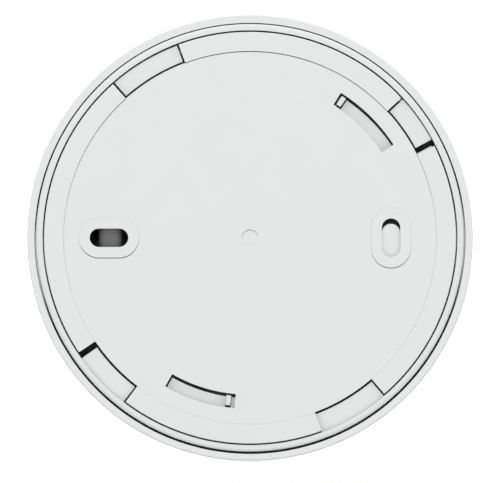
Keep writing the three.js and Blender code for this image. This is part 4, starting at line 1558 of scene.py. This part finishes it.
@dataclass
class CircuitBoard:
    """The board with its chip, inductor, capacitor, lamp and rows of small chip parts."""

    radius: float = 41.5
    west: float = -19.0
    top: float = -22.0
    sheet: float = 1.6
    notch: float = 3.6
    screw_hole: float = 1.2
    leg_hole: float = 0.55
    leg_pitch: float = 1.27

    def build(self) -> list[bpy.types.Object]:
        """Returns the board and all that is soldered to it."""
        return [self.board(), *self.chip(), *self.inductor(), *self.capacitor(), *self.lamp(),
                *self.chip_parts()]

    def board(self) -> bpy.types.Object:
        """Makes the laminate with its holes and its notches.

        Returns:
            The laminate's piece.
        """
        low, under, over = self.top - self.sheet, self.top - self.sheet - OVER, self.top + OVER
        bend = math.degrees(math.acos(self.west / self.radius))
        outline = arc((0, 0), self.radius, -bend, bend, ROUND // 2)
        body = Solid.prism(outline, low, self.top, bottom=0.05, top=0.05)
        holes = [circle(self.screw_hole, middle) for middle in middles_of("board_screw", 3)]
        holes += [circle(self.notch, middle) for middle in middles_of("cover_screw", 4)]
        for name in ("contact_positive", "contact_negative"):
            bottom, high = corners_of(name)
            holes.append(rectangle(high.x - 2.3, high.x + 0.3, bottom.y - 0.3, high.y + 0.3, 0.3))
        holes += [circle(self.leg_hole, place, 24) for place in Optics().legs()]
        body = body.cut(*(Solid.prism(hole, under, over) for hole in holes))
        return body.piece("circuit_board_laminate", Body.ALARM, GREEN_BOARD, "circuit_board",
                          slot="board_laminate")

    def chip(self) -> list[bpy.types.Object]:
        """Makes the microcontroller's body and its gull-wing legs.

        Returns:
            The two pieces.
        """
        x, y, _ = centre_of("microcontroller")
        seat = self.top + 0.1
        outline = rectangle(x - 5, x + 5, y - 2, y + 2, 0.15)
        body = Solid.prism(outline, seat + 0.15, seat + 1.6, bottom=0.1, top=0.15)
        body = body.cut(Solid.prism(circle(0.45, (x - 4.2, y - 1.2), 24), seat + 1.5, seat + 3))
        legs = [self.leg(x - 4.45 + self.leg_pitch * i, y, seat, side) for i in range(8) for side in (-1, 1)]
        return [
            body.piece("microcontroller_body", Body.ALARM, CHIP_BLACK, "microcontroller", slot="chip_epoxy"),
            Solid.together(legs).piece("microcontroller_legs", Body.ALARM, NICKEL, slot="contact_metal"),
        ]

    @staticmethod
    def leg(x: float, y: float, seat: float, side: int) -> Solid:
        """Makes one gull-wing leg.

        Args:
            x: Its place along the chip.
            y: The chip's middle line.
            seat: The height of the board's pads.
            side: -1 or 1, the side of the chip that it is on.

        Returns:
            The leg.
        """
        path = [(2.03, 0.74), (2.25, 0.74), (2.6, 0.0), (3.1, 0.0), (3.1, 0.16), (2.7, 0.16), (2.35, 0.9),
                (2.03, 0.9)]
        profile = Solid.prism(path, -0.2, 0.2)
        return profile.moved(turn(90, "X"), turn(90 * side), shift(x, y, seat))

    def inductor(self) -> list[bpy.types.Object]:
        """Makes the drum core and the copper wound on it.

        Returns:
            The two pieces.
        """
        middle = centre_of("boost_inductor")[:2]
        low, high = corners_of("boost_inductor")
        wide = (high.x - low.x) / 2
        core = softened([(0, low.z, 0), (wide, low.z, 0.15), (wide, low.z + 1, 0.15), (2.4, low.z + 1, 0.1),
                         (2.4, high.z - 1, 0.1), (wide, high.z - 1, 0.15), (wide, high.z, 0.15),
                         (0, high.z, 0)])
        turns = 8
        pitch = (high.z - low.z - 2.1) / turns
        winding: list[Point] = [(2.5, low.z + 1.05)]
        for i in range(turns):
            winding += arc((3.5, low.z + 1.05 + pitch * (i + 0.5)), pitch / 2, -80, 80, 6)
        winding.append((2.5, high.z - 1.05))
        return [
            Solid.turned(core, MEDIUM, middle).piece("inductor_core", Body.ALARM, FERRITE, "boost_inductor",
                                                     slot="ferrite"),
            Solid.turned(winding, MEDIUM, middle).piece("inductor_winding", Body.ALARM, COPPER),
        ]

    def capacitor(self) -> list[bpy.types.Object]:
        """Makes the capacitor's sleeved can and its scored metal top.

        Returns:
            The two pieces.
        """
        middle = centre_of("storage_capacitor")[:2]
        low, high = corners_of("storage_capacitor")
        sleeve = softened([(0, low.z, 0), (3.7, low.z, 0.1), (4, low.z + 0.4, 0.2), (4, low.z + 1.5, 0.2),
                           (3.6, low.z + 2, 0.3), (4, low.z + 2.5, 0.2), (4, high.z, 0.5), (3.1, high.z, 0.1),
                           (3.1, high.z - 0.35, 0), (0, high.z - 0.35, 0)])
        top = softened([(0, high.z - 0.3, 0), (3.05, high.z - 0.3, 0), (3.05, high.z - 0.06, 0.15),
                        (0, high.z - 0.06, 0)])
        lid = Solid.turned(top, MEDIUM, middle)
        scores = [Solid.prism(rectangle(-2.3, 2.3, -0.12, 0.12), high.z - 0.16, high.z + 1).moved(
            turn(angle), shift(*middle)) for angle in (45, 135)]
        return [
            Solid.turned(sleeve, MEDIUM, middle).piece("capacitor_sleeve", Body.ALARM, CAN_SLEEVE,
                                                       "storage_capacitor", slot="capacitor_can"),
            lid.cut(*scores).piece("capacitor_top", Body.ALARM, CAN_METAL),
        ]

    def lamp(self) -> list[bpy.types.Object]:
        """Makes the indicator lamp with its domed lens, and its two end caps.

        Returns:
            The lamp and its caps.
        """
        x, y, _ = centre_of("status_lamp")
        low, high = corners_of("status_lamp")
        base = Solid.prism(rectangle(x - 1.1, x + 1.1, y - 0.8, y + 0.8), high.z - 0.6, high.z, bottom=0.08)
        lens = arc((0, high.z - 0.5), 0.7, -90, 0, 8)
        dome = Solid.turned([*lens, (0, high.z - 0.5)], SMALL, (x, y))
        caps = [Solid.prism(rectangle(x + a, x + b, y - 0.8, y + 0.8), high.z - 0.6, high.z, bottom=0.08)
                for a, b in ((-1.6, -1.13), (1.13, 1.6))]
        lamp = base.join(dome)
        return [
            lamp.piece("status_lamp_lens", Body.ALARM, LAMP_RESIN, "status_lamp", slot="lamp_plastic"),
            Solid.together(caps).piece("status_lamp_caps", Body.ALARM, NICKEL),
        ]

    def chip_parts(self) -> list[bpy.types.Object]:
        """Makes rows of chip resistors.

        Returns:
            One piece of bodies and one of end caps.
        """
        bodies, caps = [], []
        seat = self.top + 0.05
        places = [(-14 + 3.4 * i, -5.5 - 0.3 * (i % 2)) for i in range(5)]
        places += [(18 + 3.2 * i, 5 + 0.4 * i) for i in range(4)] + [(-4 + 3.6 * i, -21) for i in range(3)]
        for x, y in places:
            outline = rectangle(x - 0.5, x + 0.5, y - 0.6, y + 0.6)
            bodies.append(Solid.prism(outline, seat, seat + 0.5, top=0.05))
            for side in (-1, 1):
                west, east = sorted((x + side * 0.53, x + side * 0.95))
                caps.append(Solid.prism(rectangle(west, east, y - 0.6, y + 0.6), seat, seat + 0.52, top=0.06))
        return [
            Solid.together(bodies).piece("chip_resistors", Body.ALARM, CHIP_BLACK, slot="chip_epoxy"),
            Solid.together(caps).piece("chip_resistor_caps", Body.ALARM, NICKEL, slot="contact_metal"),
        ]


# ---------------------------------------------------------------- button, switch and light pipe


@dataclass
class TestButton:
    """The push button with its dished cap, the switch under it and the switch's plunger."""

    radius: float = 6.0
    wall: float = 1.2
    flange: float = 1.0
    stem: float = 1.8
    stem_top: float = -28.2
    floor: float = 1.6  # the thickness of the cap's face
    dish: float = 0.35
    dish_radius: float = 3.9
    dish_bend: float = 28.0
    switch_half: float = 3.0
    well: float = 1.85
    well_top: float = -25.0

    def build(self) -> list[bpy.types.Object]:
        """Returns the button, the switch and its plunger."""
        return [self.button(), *self.switch(), self.plunger()]

    def button(self) -> bpy.types.Object:
        """Makes the cap with its skirt, flange and stem.

        Returns:
            The cap's piece.
        """
        low, high = corners_of("test_button")
        floor = low.z + self.floor
        flange = self.radius + self.flange
        inner = self.radius - self.wall
        reaches = [polar(self.dish_bend, 90 - i)[0] for i in range(9)]
        dished = [(reach, low.z + self.dish * (1 - (reach / self.dish_radius) ** 2)) for reach in reaches]
        rim = softened([(self.dish_radius, low.z, 0), (self.radius, low.z, 1.0),
                        (self.radius, high.z - 0.7, 0.1), (flange, high.z - 0.7, 0.15),
                        (flange, high.z, 0.15), (inner, high.z, 0.2), (inner, floor, 0.4),
                        (self.stem, floor, 0.3), (self.stem, self.stem_top, 0.2), (0, self.stem_top, 0)])
        solid = Solid.turned(dished + rim[1:], MEDIUM, centre_of("test_button")[:2])
        return solid.piece("test_button_cap", Body.BUTTON, BUTTON_WHITE, "test_button", slot="button_plastic")

    def switch(self) -> list[bpy.types.Object]:
        """Makes the switch's black body with its steel top plate.

        Returns:
            The two pieces.
        """
        x, y, _ = centre_of("switch_body")
        low, high = corners_of("switch_body")
        half = self.switch_half
        well = Solid.prism(circle(self.well, (x, y)), low.z - OVER, self.well_top)
        outline = rectangle(x - half, x + half, y - half, y + half, 0.3)
        body = Solid.prism(outline, low.z + 0.32, high.z, bottom=0.1)
        outline = rectangle(x - half + 0.1, x + half - 0.1, y - half + 0.1, y + half - 0.1, 0.4)
        plate = Solid.prism(outline, low.z + 0.02, low.z + 0.3, bottom=0.06)
        dimples = [Solid.prism(circle(0.4, (x + a, y + b), 20), low.z - OVER, low.z + 0.12)
                   for a in (-2.2, 2.2) for b in (-2.2, 2.2)]
        body = body.cut(well)
        return [
            body.piece("switch_housing", Body.ALARM, SATIN_BLACK, "switch_body", slot="black_plastic"),
            plate.cut(well, *dimples).piece("switch_top_plate", Body.ALARM, NICKEL, slot="contact_metal"),
        ]

    def plunger(self) -> bpy.types.Object:
        """Makes the switch's plunger with its rounded nose.

        Returns:
            The plunger's piece.
        """
        low, high = corners_of("switch_plunger")
        radius = (high.x - low.x) / 2
        profile = softened([(0, low.z, 0), (radius, low.z, 0.35), (radius, high.z, 0.1), (0, high.z, 0)])
        solid = Solid.turned(profile, SMALL, centre_of("switch_plunger")[:2])
        return solid.piece("switch_plunger_peg", Body.PLUNGER, SATIN_BLACK, "switch_plunger",
                           slot="black_plastic")


@dataclass
class LightPipe:
    """The clear pipe that carries the lamp's light to the face."""

    radius: float = 1.4
    collar: float = 2.2
    seat: float = -29.1
    collar_height: float = 0.9

    def build(self) -> list[bpy.types.Object]:
        """Builds the pipe with its rounded end.

        Returns:
            The pipe's one piece.
        """
        low, high = corners_of("light_pipe")
        collar_top = self.seat + self.collar_height
        profile = softened([(0, low.z, 0), (self.radius, low.z, 0.35), (self.radius, self.seat, 0.05),
                            (self.collar, self.seat, 0.1), (self.collar, collar_top, 0.1),
                            (self.radius, collar_top, 0.05), (self.radius, high.z, 0.15), (0, high.z, 0)])
        solid = Solid.turned(profile, SMALL, centre_of("light_pipe")[:2])
        return [solid.piece("light_pipe_clear", Body.ALARM, CLEAR, "light_pipe", slot="clear_plastic")]


# ---------------------------------------------------------------- smoke chamber


@dataclass
class Optics:
    """The emitter and the receiver, two round optics that lie in the chamber and look past each other."""

    height: float = -32.3
    radius: float = 2.45
    back: float = 12.6
    lens: float = 6.6
    leg_reach: float = 13.2
    leg_spread: float = 1.27
    leg_half: float = 0.25
    leg_top: float = -21.3
    angles: tuple[float, float] = (215.0, 345.0)

    def legs(self) -> list[Point]:
        """Works out where the legs go through the board.

        Returns:
            The four places.
        """
        places = []
        for angle in self.angles:
            middle = Vector(polar(self.leg_reach, angle))
            across = Vector(polar(self.leg_spread, angle + 90))
            places += [tuple(middle + across), tuple(middle - across)]
        return places

    def build(self) -> list[bpy.types.Object]:
        """Builds both optics with their legs.

        Returns:
            The four pieces.
        """
        made = []
        rows = (("infrared_emitter", self.angles[0], CLEAR, "clear_plastic"),
                ("light_receiver", self.angles[1], INFRARED, "infrared_plastic"))
        for node, angle, finish, slot in rows:
            made.append(self.lamp().moved(turn(90, "Y"), shift(z=self.height), turn(angle)).piece(
                f"{node}_lens", Body.ALARM, finish, node, slot=slot))
            made.append(Solid.together(self.leg(side) for side in (-1, 1)).moved(turn(angle)).piece(
                f"{node}_legs", Body.ALARM, NICKEL, slot="contact_metal"))
        return made

    def lamp(self) -> Solid:
        """Makes one domed optic along +Z, its lens towards the axis.

        Returns:
            The optic.
        """
        bend = self.radius * 0.8
        dome = arc((0, self.lens + bend), bend, -90, 0, 8)
        flange = softened([(self.radius * 0.82, self.back - 1.2, 0), (self.radius, self.back - 1.1, 0.05),
                           (self.radius, self.back, 0.1), (0, self.back, 0)])
        return Solid.turned(dome + flange, SMALL)

    def leg(self, side: int) -> Solid:
        """Makes one square leg: out of the optic's back, then up through the board.

        Args:
            side: -1 or 1, the side of the optic that it is on.

        Returns:
            The leg.
        """
        start = self.back + 0.02
        near, far = self.leg_reach - self.leg_half, self.leg_reach + self.leg_half
        bent = self.height + 0.45
        outline = [(start, self.height), (far, self.height), (far, self.leg_top), (near, self.leg_top),
                   (near, bent), (start, bent)]
        half = self.leg_half * 0.9
        upright = Solid.prism(outline, -half, half, bottom=0.04, top=0.04)
        return upright.moved(turn(90, "X"), shift(y=side * self.leg_spread))


@dataclass
class SmokeChamber:
    """The dark chamber: a base with optic blocks, a labyrinth of bent vanes, and the insect screen."""

    radius: float = 18.0
    floor: float = -25.2
    top: float = -23.8
    low: float = -40.6
    cap: float = 1.2
    vanes: int = 20
    block_low: float = -36.2
    block_half: float = 3.7
    optic_bore: float = 2.7
    pinhole: float = 1.4
    ridges: tuple[float, ...] = (2.0, 4.5, 7.0)
    screen_radius: float = 18.85
    screen_sheet: float = 0.15
    mesh_pitch: float = 1.25
    mesh_wire: float = 0.22

    def build(self) -> list[bpy.types.Object]:
        """Returns the base, the labyrinth, the screen and the optics."""
        return [self.base(), self.labyrinth(), self.screen(), *Optics().build()]

    def base(self) -> bpy.types.Object:
        """Makes the chamber's floor against the board, with a bored block for each optic.

        Returns:
            The base's piece.
        """
        optics = Optics()
        radius = self.radius - 0.1
        profile = softened([(0, self.floor, 0), (radius, self.floor, 0.2), (radius, self.top, 0.2),
                            (0, self.top, 0)])
        body = Solid.turned(profile, FINE)
        cutters = []
        for angle in optics.angles:
            block = Solid.prism(rectangle(4.6, 13, -self.block_half, self.block_half, 0.6), self.block_low,
                                self.floor + 0.7, bottom=0.4)
            body = body.join(block.moved(turn(angle)))
            lying = (turn(90, "Y"), shift(z=optics.height), turn(angle))
            cutters.append(Solid.prism(circle(self.optic_bore), 6, 14).moved(*lying))
            cutters.append(Solid.prism(circle(self.pinhole), 4, 7).moved(*lying))
            gap = Solid.prism(rectangle(12, 14, -2, 2), optics.height, self.top + OVER)
            cutters.append(gap.moved(turn(angle)))
        return body.cut(*cutters).piece("chamber_base_moulding", Body.ALARM, CHAMBER_BLACK, "chamber_base",
                                        slot="chamber_plastic")

    def labyrinth(self) -> bpy.types.Object:
        """Makes the cap with its ring of bent vanes that keep light out and let smoke in.

        Returns:
            The labyrinth's piece.
        """
        inside = self.low + self.cap
        profile = softened([(0, self.low, 0), (self.radius, self.low, 0.3), (self.radius, inside, 0.15),
                            (0, inside, 0)])
        body = Solid.turned(profile, FINE)
        vane = softened([(17.6, -1.5, 0.25), (16.0, 0.9, 0.4), (14.1, -0.9, 0.2), (14.1, -2.0, 0.2),
                         (15.9, -0.5, 0.3), (16.8, -1.9, 0.25)])
        ring = [Solid.prism(vane, inside - 0.4, self.floor - 0.3, top=0.1).moved(turn(360 * i / self.vanes))
                for i in range(self.vanes)]
        low, high = inside - 0.3, inside + 0.8
        ridges = [Solid.turned([(radius, low), (radius + 0.6, low), (radius + 0.3, high)], MEDIUM)
                  for radius in self.ridges]
        return body.join(Solid.together(ring), *ridges).piece(
            "chamber_labyrinth_moulding", Body.ALARM, CHAMBER_BLACK, "chamber_labyrinth",
            slot="chamber_plastic")

    def screen(self) -> bpy.types.Object:
        """Makes the etched screen: a fine grid bent round the labyrinth, plain at each rim.

        Returns:
            The screen's piece.
        """
        low, high = corners_of("insect_screen")
        around = 2 * math.pi * self.screen_radius
        columns = round(around / self.mesh_pitch)
        rows = round((high.z - low.z) / self.mesh_pitch)
        shape = bmesh.new()
        bmesh.ops.create_grid(shape, x_segments=columns, y_segments=rows, size=0.5)
        bmesh.ops.scale(shape, vec=(around, high.z - low.z, 1), verts=shape.verts)
        edge_row = (high.z - low.z) / 2 - self.mesh_pitch
        inner = [face for face in shape.faces if abs(face.calc_center_median().y) < edge_row]
        bmesh.ops.inset_individual(shape, faces=inner, thickness=self.mesh_wire / 2)
        bmesh.ops.delete(shape, geom=inner, context="FACES")
        for vertex in shape.verts:
            x, y = polar(self.screen_radius, 360 * vertex.co.x / around)
            vertex.co = (x, y, vertex.co.y + (low.z + high.z) / 2)
        bmesh.ops.remove_doubles(shape, verts=shape.verts, dist=0.01)
        bmesh.ops.recalc_face_normals(shape, faces=shape.faces)
        bmesh.ops.solidify(shape, geom=shape.faces[:], thickness=self.screen_sheet)
        return Solid(shape).piece("insect_screen_mesh", Body.ALARM, STAINLESS, "insect_screen",
                                  slot="screen_metal")


# ---------------------------------------------------------------- sounder


@dataclass
class Sounder:
    """The sounder: a resonator cup, a brass disc with its ceramic, the ring that holds it and two pins."""

    radius: float = 11.8
    wall: float = 1.0
    hole: float = 1.8
    seat: float = -25.6
    disc_radius: float = 10.6
    ceramic_radius: float = 7.5
    disc_bend: float = 0.05

    def build(self) -> list[bpy.types.Object]:
        """Builds the cup, the disc with its ceramic, the ring and the pins.

        Returns:
            The six pieces.
        """
        middle = centre_of("sounder_cup")[:2]
        low, high = corners_of("sounder_cup")
        shelf = self.radius - self.wall
        cup = softened([(self.hole, low.z, 0.3), (self.radius, low.z, 0.5), (self.radius, high.z, 0.15),
                        (shelf, high.z, 0.15), (shelf, self.seat, 0), (shelf - 0.8, self.seat, 0.1),
                        (shelf - 0.8, low.z + self.wall, 0.4), (self.hole, low.z + self.wall, 0.2)])
        rows = (
            ("sounder_cup", cup, SATIN_BLACK, "black_plastic"),
            ("piezo_plate", self.disc("piezo_plate", self.disc_radius), BRASS, "brass"),
            ("piezo_ceramic", self.disc("piezo_ceramic", self.ceramic_radius), CERAMIC, "ceramic"),
            ("sounder_ring", self.ring(), SATIN_BLACK, "black_plastic"),
        )
        made = []
        for node, profile, finish, slot in rows:
            solid = Solid.turned(profile, FINE, middle)
            made.append(solid.piece(f"{node}_part", Body.ALARM, finish, node, slot=slot))
        return made + [self.pin("sounder_pin_1"), self.pin("sounder_pin_2")]

    def disc(self, node: str, radius: float) -> list[Point]:
        """Makes the profile of a thin disc.

        Args:
            node: The CAD node that gives its heights.
            radius: Its radius.

        Returns:
            The profile's points.
        """
        low, high = corners_of(node)
        return softened([(0, low.z, 0), (radius, low.z, self.disc_bend), (radius, high.z, self.disc_bend),
                         (0, high.z, 0)])

    def ring(self) -> list[Point]:
        """Makes the profile of the ring that holds the disc down.

        Returns:
            The profile's points.
        """
        low, high = corners_of("sounder_ring")
        return softened([(8.8, low.z, 0.2), (self.disc_radius, low.z, 0.1), (self.disc_radius, high.z, 0.2),
                         (9.3, high.z, 0.2)])

    def pin(self, node: str) -> bpy.types.Object:
        """Makes one spring pin with a waist, between the board and the disc.

        Args:
            node: The pin's CAD node.

        Returns:
            The pin's piece.
        """
        low, high = corners_of(node)
        radius = (high.x - low.x) / 2
        waist = low.z + 0.5 * (high.z - low.z)
        profile = softened([(0, low.z, 0), (radius * 0.7, low.z, 0.15), (radius, waist - 0.1, 0.1),
                            (radius, high.z, 0.1), (0, high.z, 0)])
        solid = Solid.turned(profile, SMALL, centre_of(node)[:2])
        return solid.piece(f"{node}_contact", Body.ALARM, BRASS, node, slot="brass")


# ---------------------------------------------------------------- studio


@dataclass
class Studio:
    """A white floor, a crisp key light, a faint fill and a camera square on to the alarm's back."""

    floor_radius: float = 3.0
    floor_gap: float = 0.0002
    key_tilt: float = 19.5  # from straight above
    key_azimuth: float = 92.0
    key_distance: float = 4.0
    key_size: float = 0.2
    key_power: float = 165.0
    card_height: float = 0.9
    card_size: float = 1.0
    card_power: float = 3.4
    ambient: float = 0.015
    under_place: Corner = (-0.5, -0.7, -0.9)
    under_size: float = 0.5
    under_power: float = 0.7
    lens: float = 400.0
    frame_width: float = 0.10635
    aim: Span = (0.0, -0.00079)

    def build(self) -> None:
        """Sets up the floor, the lights, the surroundings and the camera."""
        scene = bpy.context.scene
        scene.view_settings.view_transform = "Standard"
        self.floor()
        self.surroundings()
        azimuth = math.radians(self.key_azimuth)
        tilt = math.radians(self.key_tilt)
        towards = Vector((math.cos(azimuth) * math.sin(tilt), math.sin(azimuth) * math.sin(tilt),
                          math.cos(tilt)))
        key = self.lamp("key", towards * self.key_distance, self.key_size, self.key_power)
        key.visible_glossy = False
        card = self.lamp("card", Vector((0.0, 0.0, self.card_height)), self.card_size, self.card_power)
        card.visible_diffuse = False
        card.visible_camera = False
        self.lamp("under", Vector(self.under_place), self.under_size, self.under_power)
        self.camera()

    def floor(self) -> None:
        """Makes a white floor that is clear from below."""
        shape = bmesh.new()
        bmesh.ops.create_circle(shape, cap_ends=True, segments=96, radius=self.floor_radius)
        level = CAD_BOX[0].z - self.floor_gap
        bmesh.ops.translate(shape, verts=shape.verts, vec=(0, 0, level))
        mesh = bpy.data.meshes.new("floor")
        shape.to_mesh(mesh)
        shape.free()
        plane = link(bpy.data.objects.new("floor", mesh))
        plane.data.materials.append(self.floor_material())

    def floor_material(self) -> bpy.types.Material:
        """Makes the floor's glowing white, see-through from its back.

        Returns:
            The material.
        """
        made = bpy.data.materials.new("studio white")
        made.use_nodes = True
        made.node_tree.nodes.clear()
        graph = Graph(made.node_tree)
        white = graph.add("ShaderNodeBsdfPrincipled", {
            "Base Color": (0.5, 0.5, 0.5, 1), "Roughness": 0.9, "Emission Color": (1, 1, 1, 1),
            "Emission Strength": 0.97})
        behind = graph.add("ShaderNodeNewGeometry").outputs["Backfacing"]
        clear = graph.add("ShaderNodeBsdfTransparent")
        sides = graph.add("ShaderNodeMixShader", {0: behind, 1: white.outputs[0], 2: clear.outputs[0]})
        graph.add("ShaderNodeOutputMaterial", {"Surface": sides.outputs[0]})
        return made

    def surroundings(self) -> None:
        """Makes the world white to look at, and dim as a light."""
        world = bpy.data.worlds.new("studio")
        bpy.context.scene.world = world
        world.use_nodes = True
        world.node_tree.nodes.clear()
        graph = Graph(world.node_tree)
        seen = graph.add("ShaderNodeLightPath").outputs["Is Camera Ray"]
        strength = graph.between(seen, self.ambient, 1.0, 0.0, 1.0)
        light = graph.add("ShaderNodeBackground", {"Color": (1, 1, 1, 1), "Strength": strength})
        graph.add("ShaderNodeOutputWorld", {"Surface": light.outputs[0]})

    def lamp(self, name: str, place: Vector, size: float, power: float) -> bpy.types.Object:
        """Hangs one round lamp that faces the alarm.

        Args:
            name: The lamp's name.
            place: Where it hangs.
            size: Its diameter.
            power: Its power in watts.

        Returns:
            The lamp's object.
        """
        light = bpy.data.lights.new(name, "AREA")
        light.shape = "DISK"
        light.size = size
        light.energy = power
        lamp = link(bpy.data.objects.new(name, light))
        lamp.location = place
        lamp.rotation_euler = (-place).to_track_quat("-Z", "Y").to_euler()
        return lamp

    def camera(self) -> None:
        """Sets the long-lens camera square on to the plate."""
        data = bpy.data.cameras.new("camera")
        data.lens = self.lens
        camera = link(bpy.data.objects.new("camera", data))
        distance = self.frame_width * self.lens / data.sensor_width
        camera.location = (*self.aim, distance)
        bpy.context.scene.camera = camera


def main() -> None:
    """Builds every sub-assembly in order and reports each piece."""
    logging.basicConfig(level=logging.INFO, format="%(name)s: %(message)s")
    Studio().build()
    for assembly in (MountingPlate, RearCover, FrontCover, Fasteners, Cell, CircuitBoard, TestButton,
                     LightPipe, SmokeChamber, Sounder):
        made = assembly().build()
        log.info("%s holds %s", assembly.__name__, ", ".join(piece.name for piece in made))


if __name__ == "__main__":
    main()
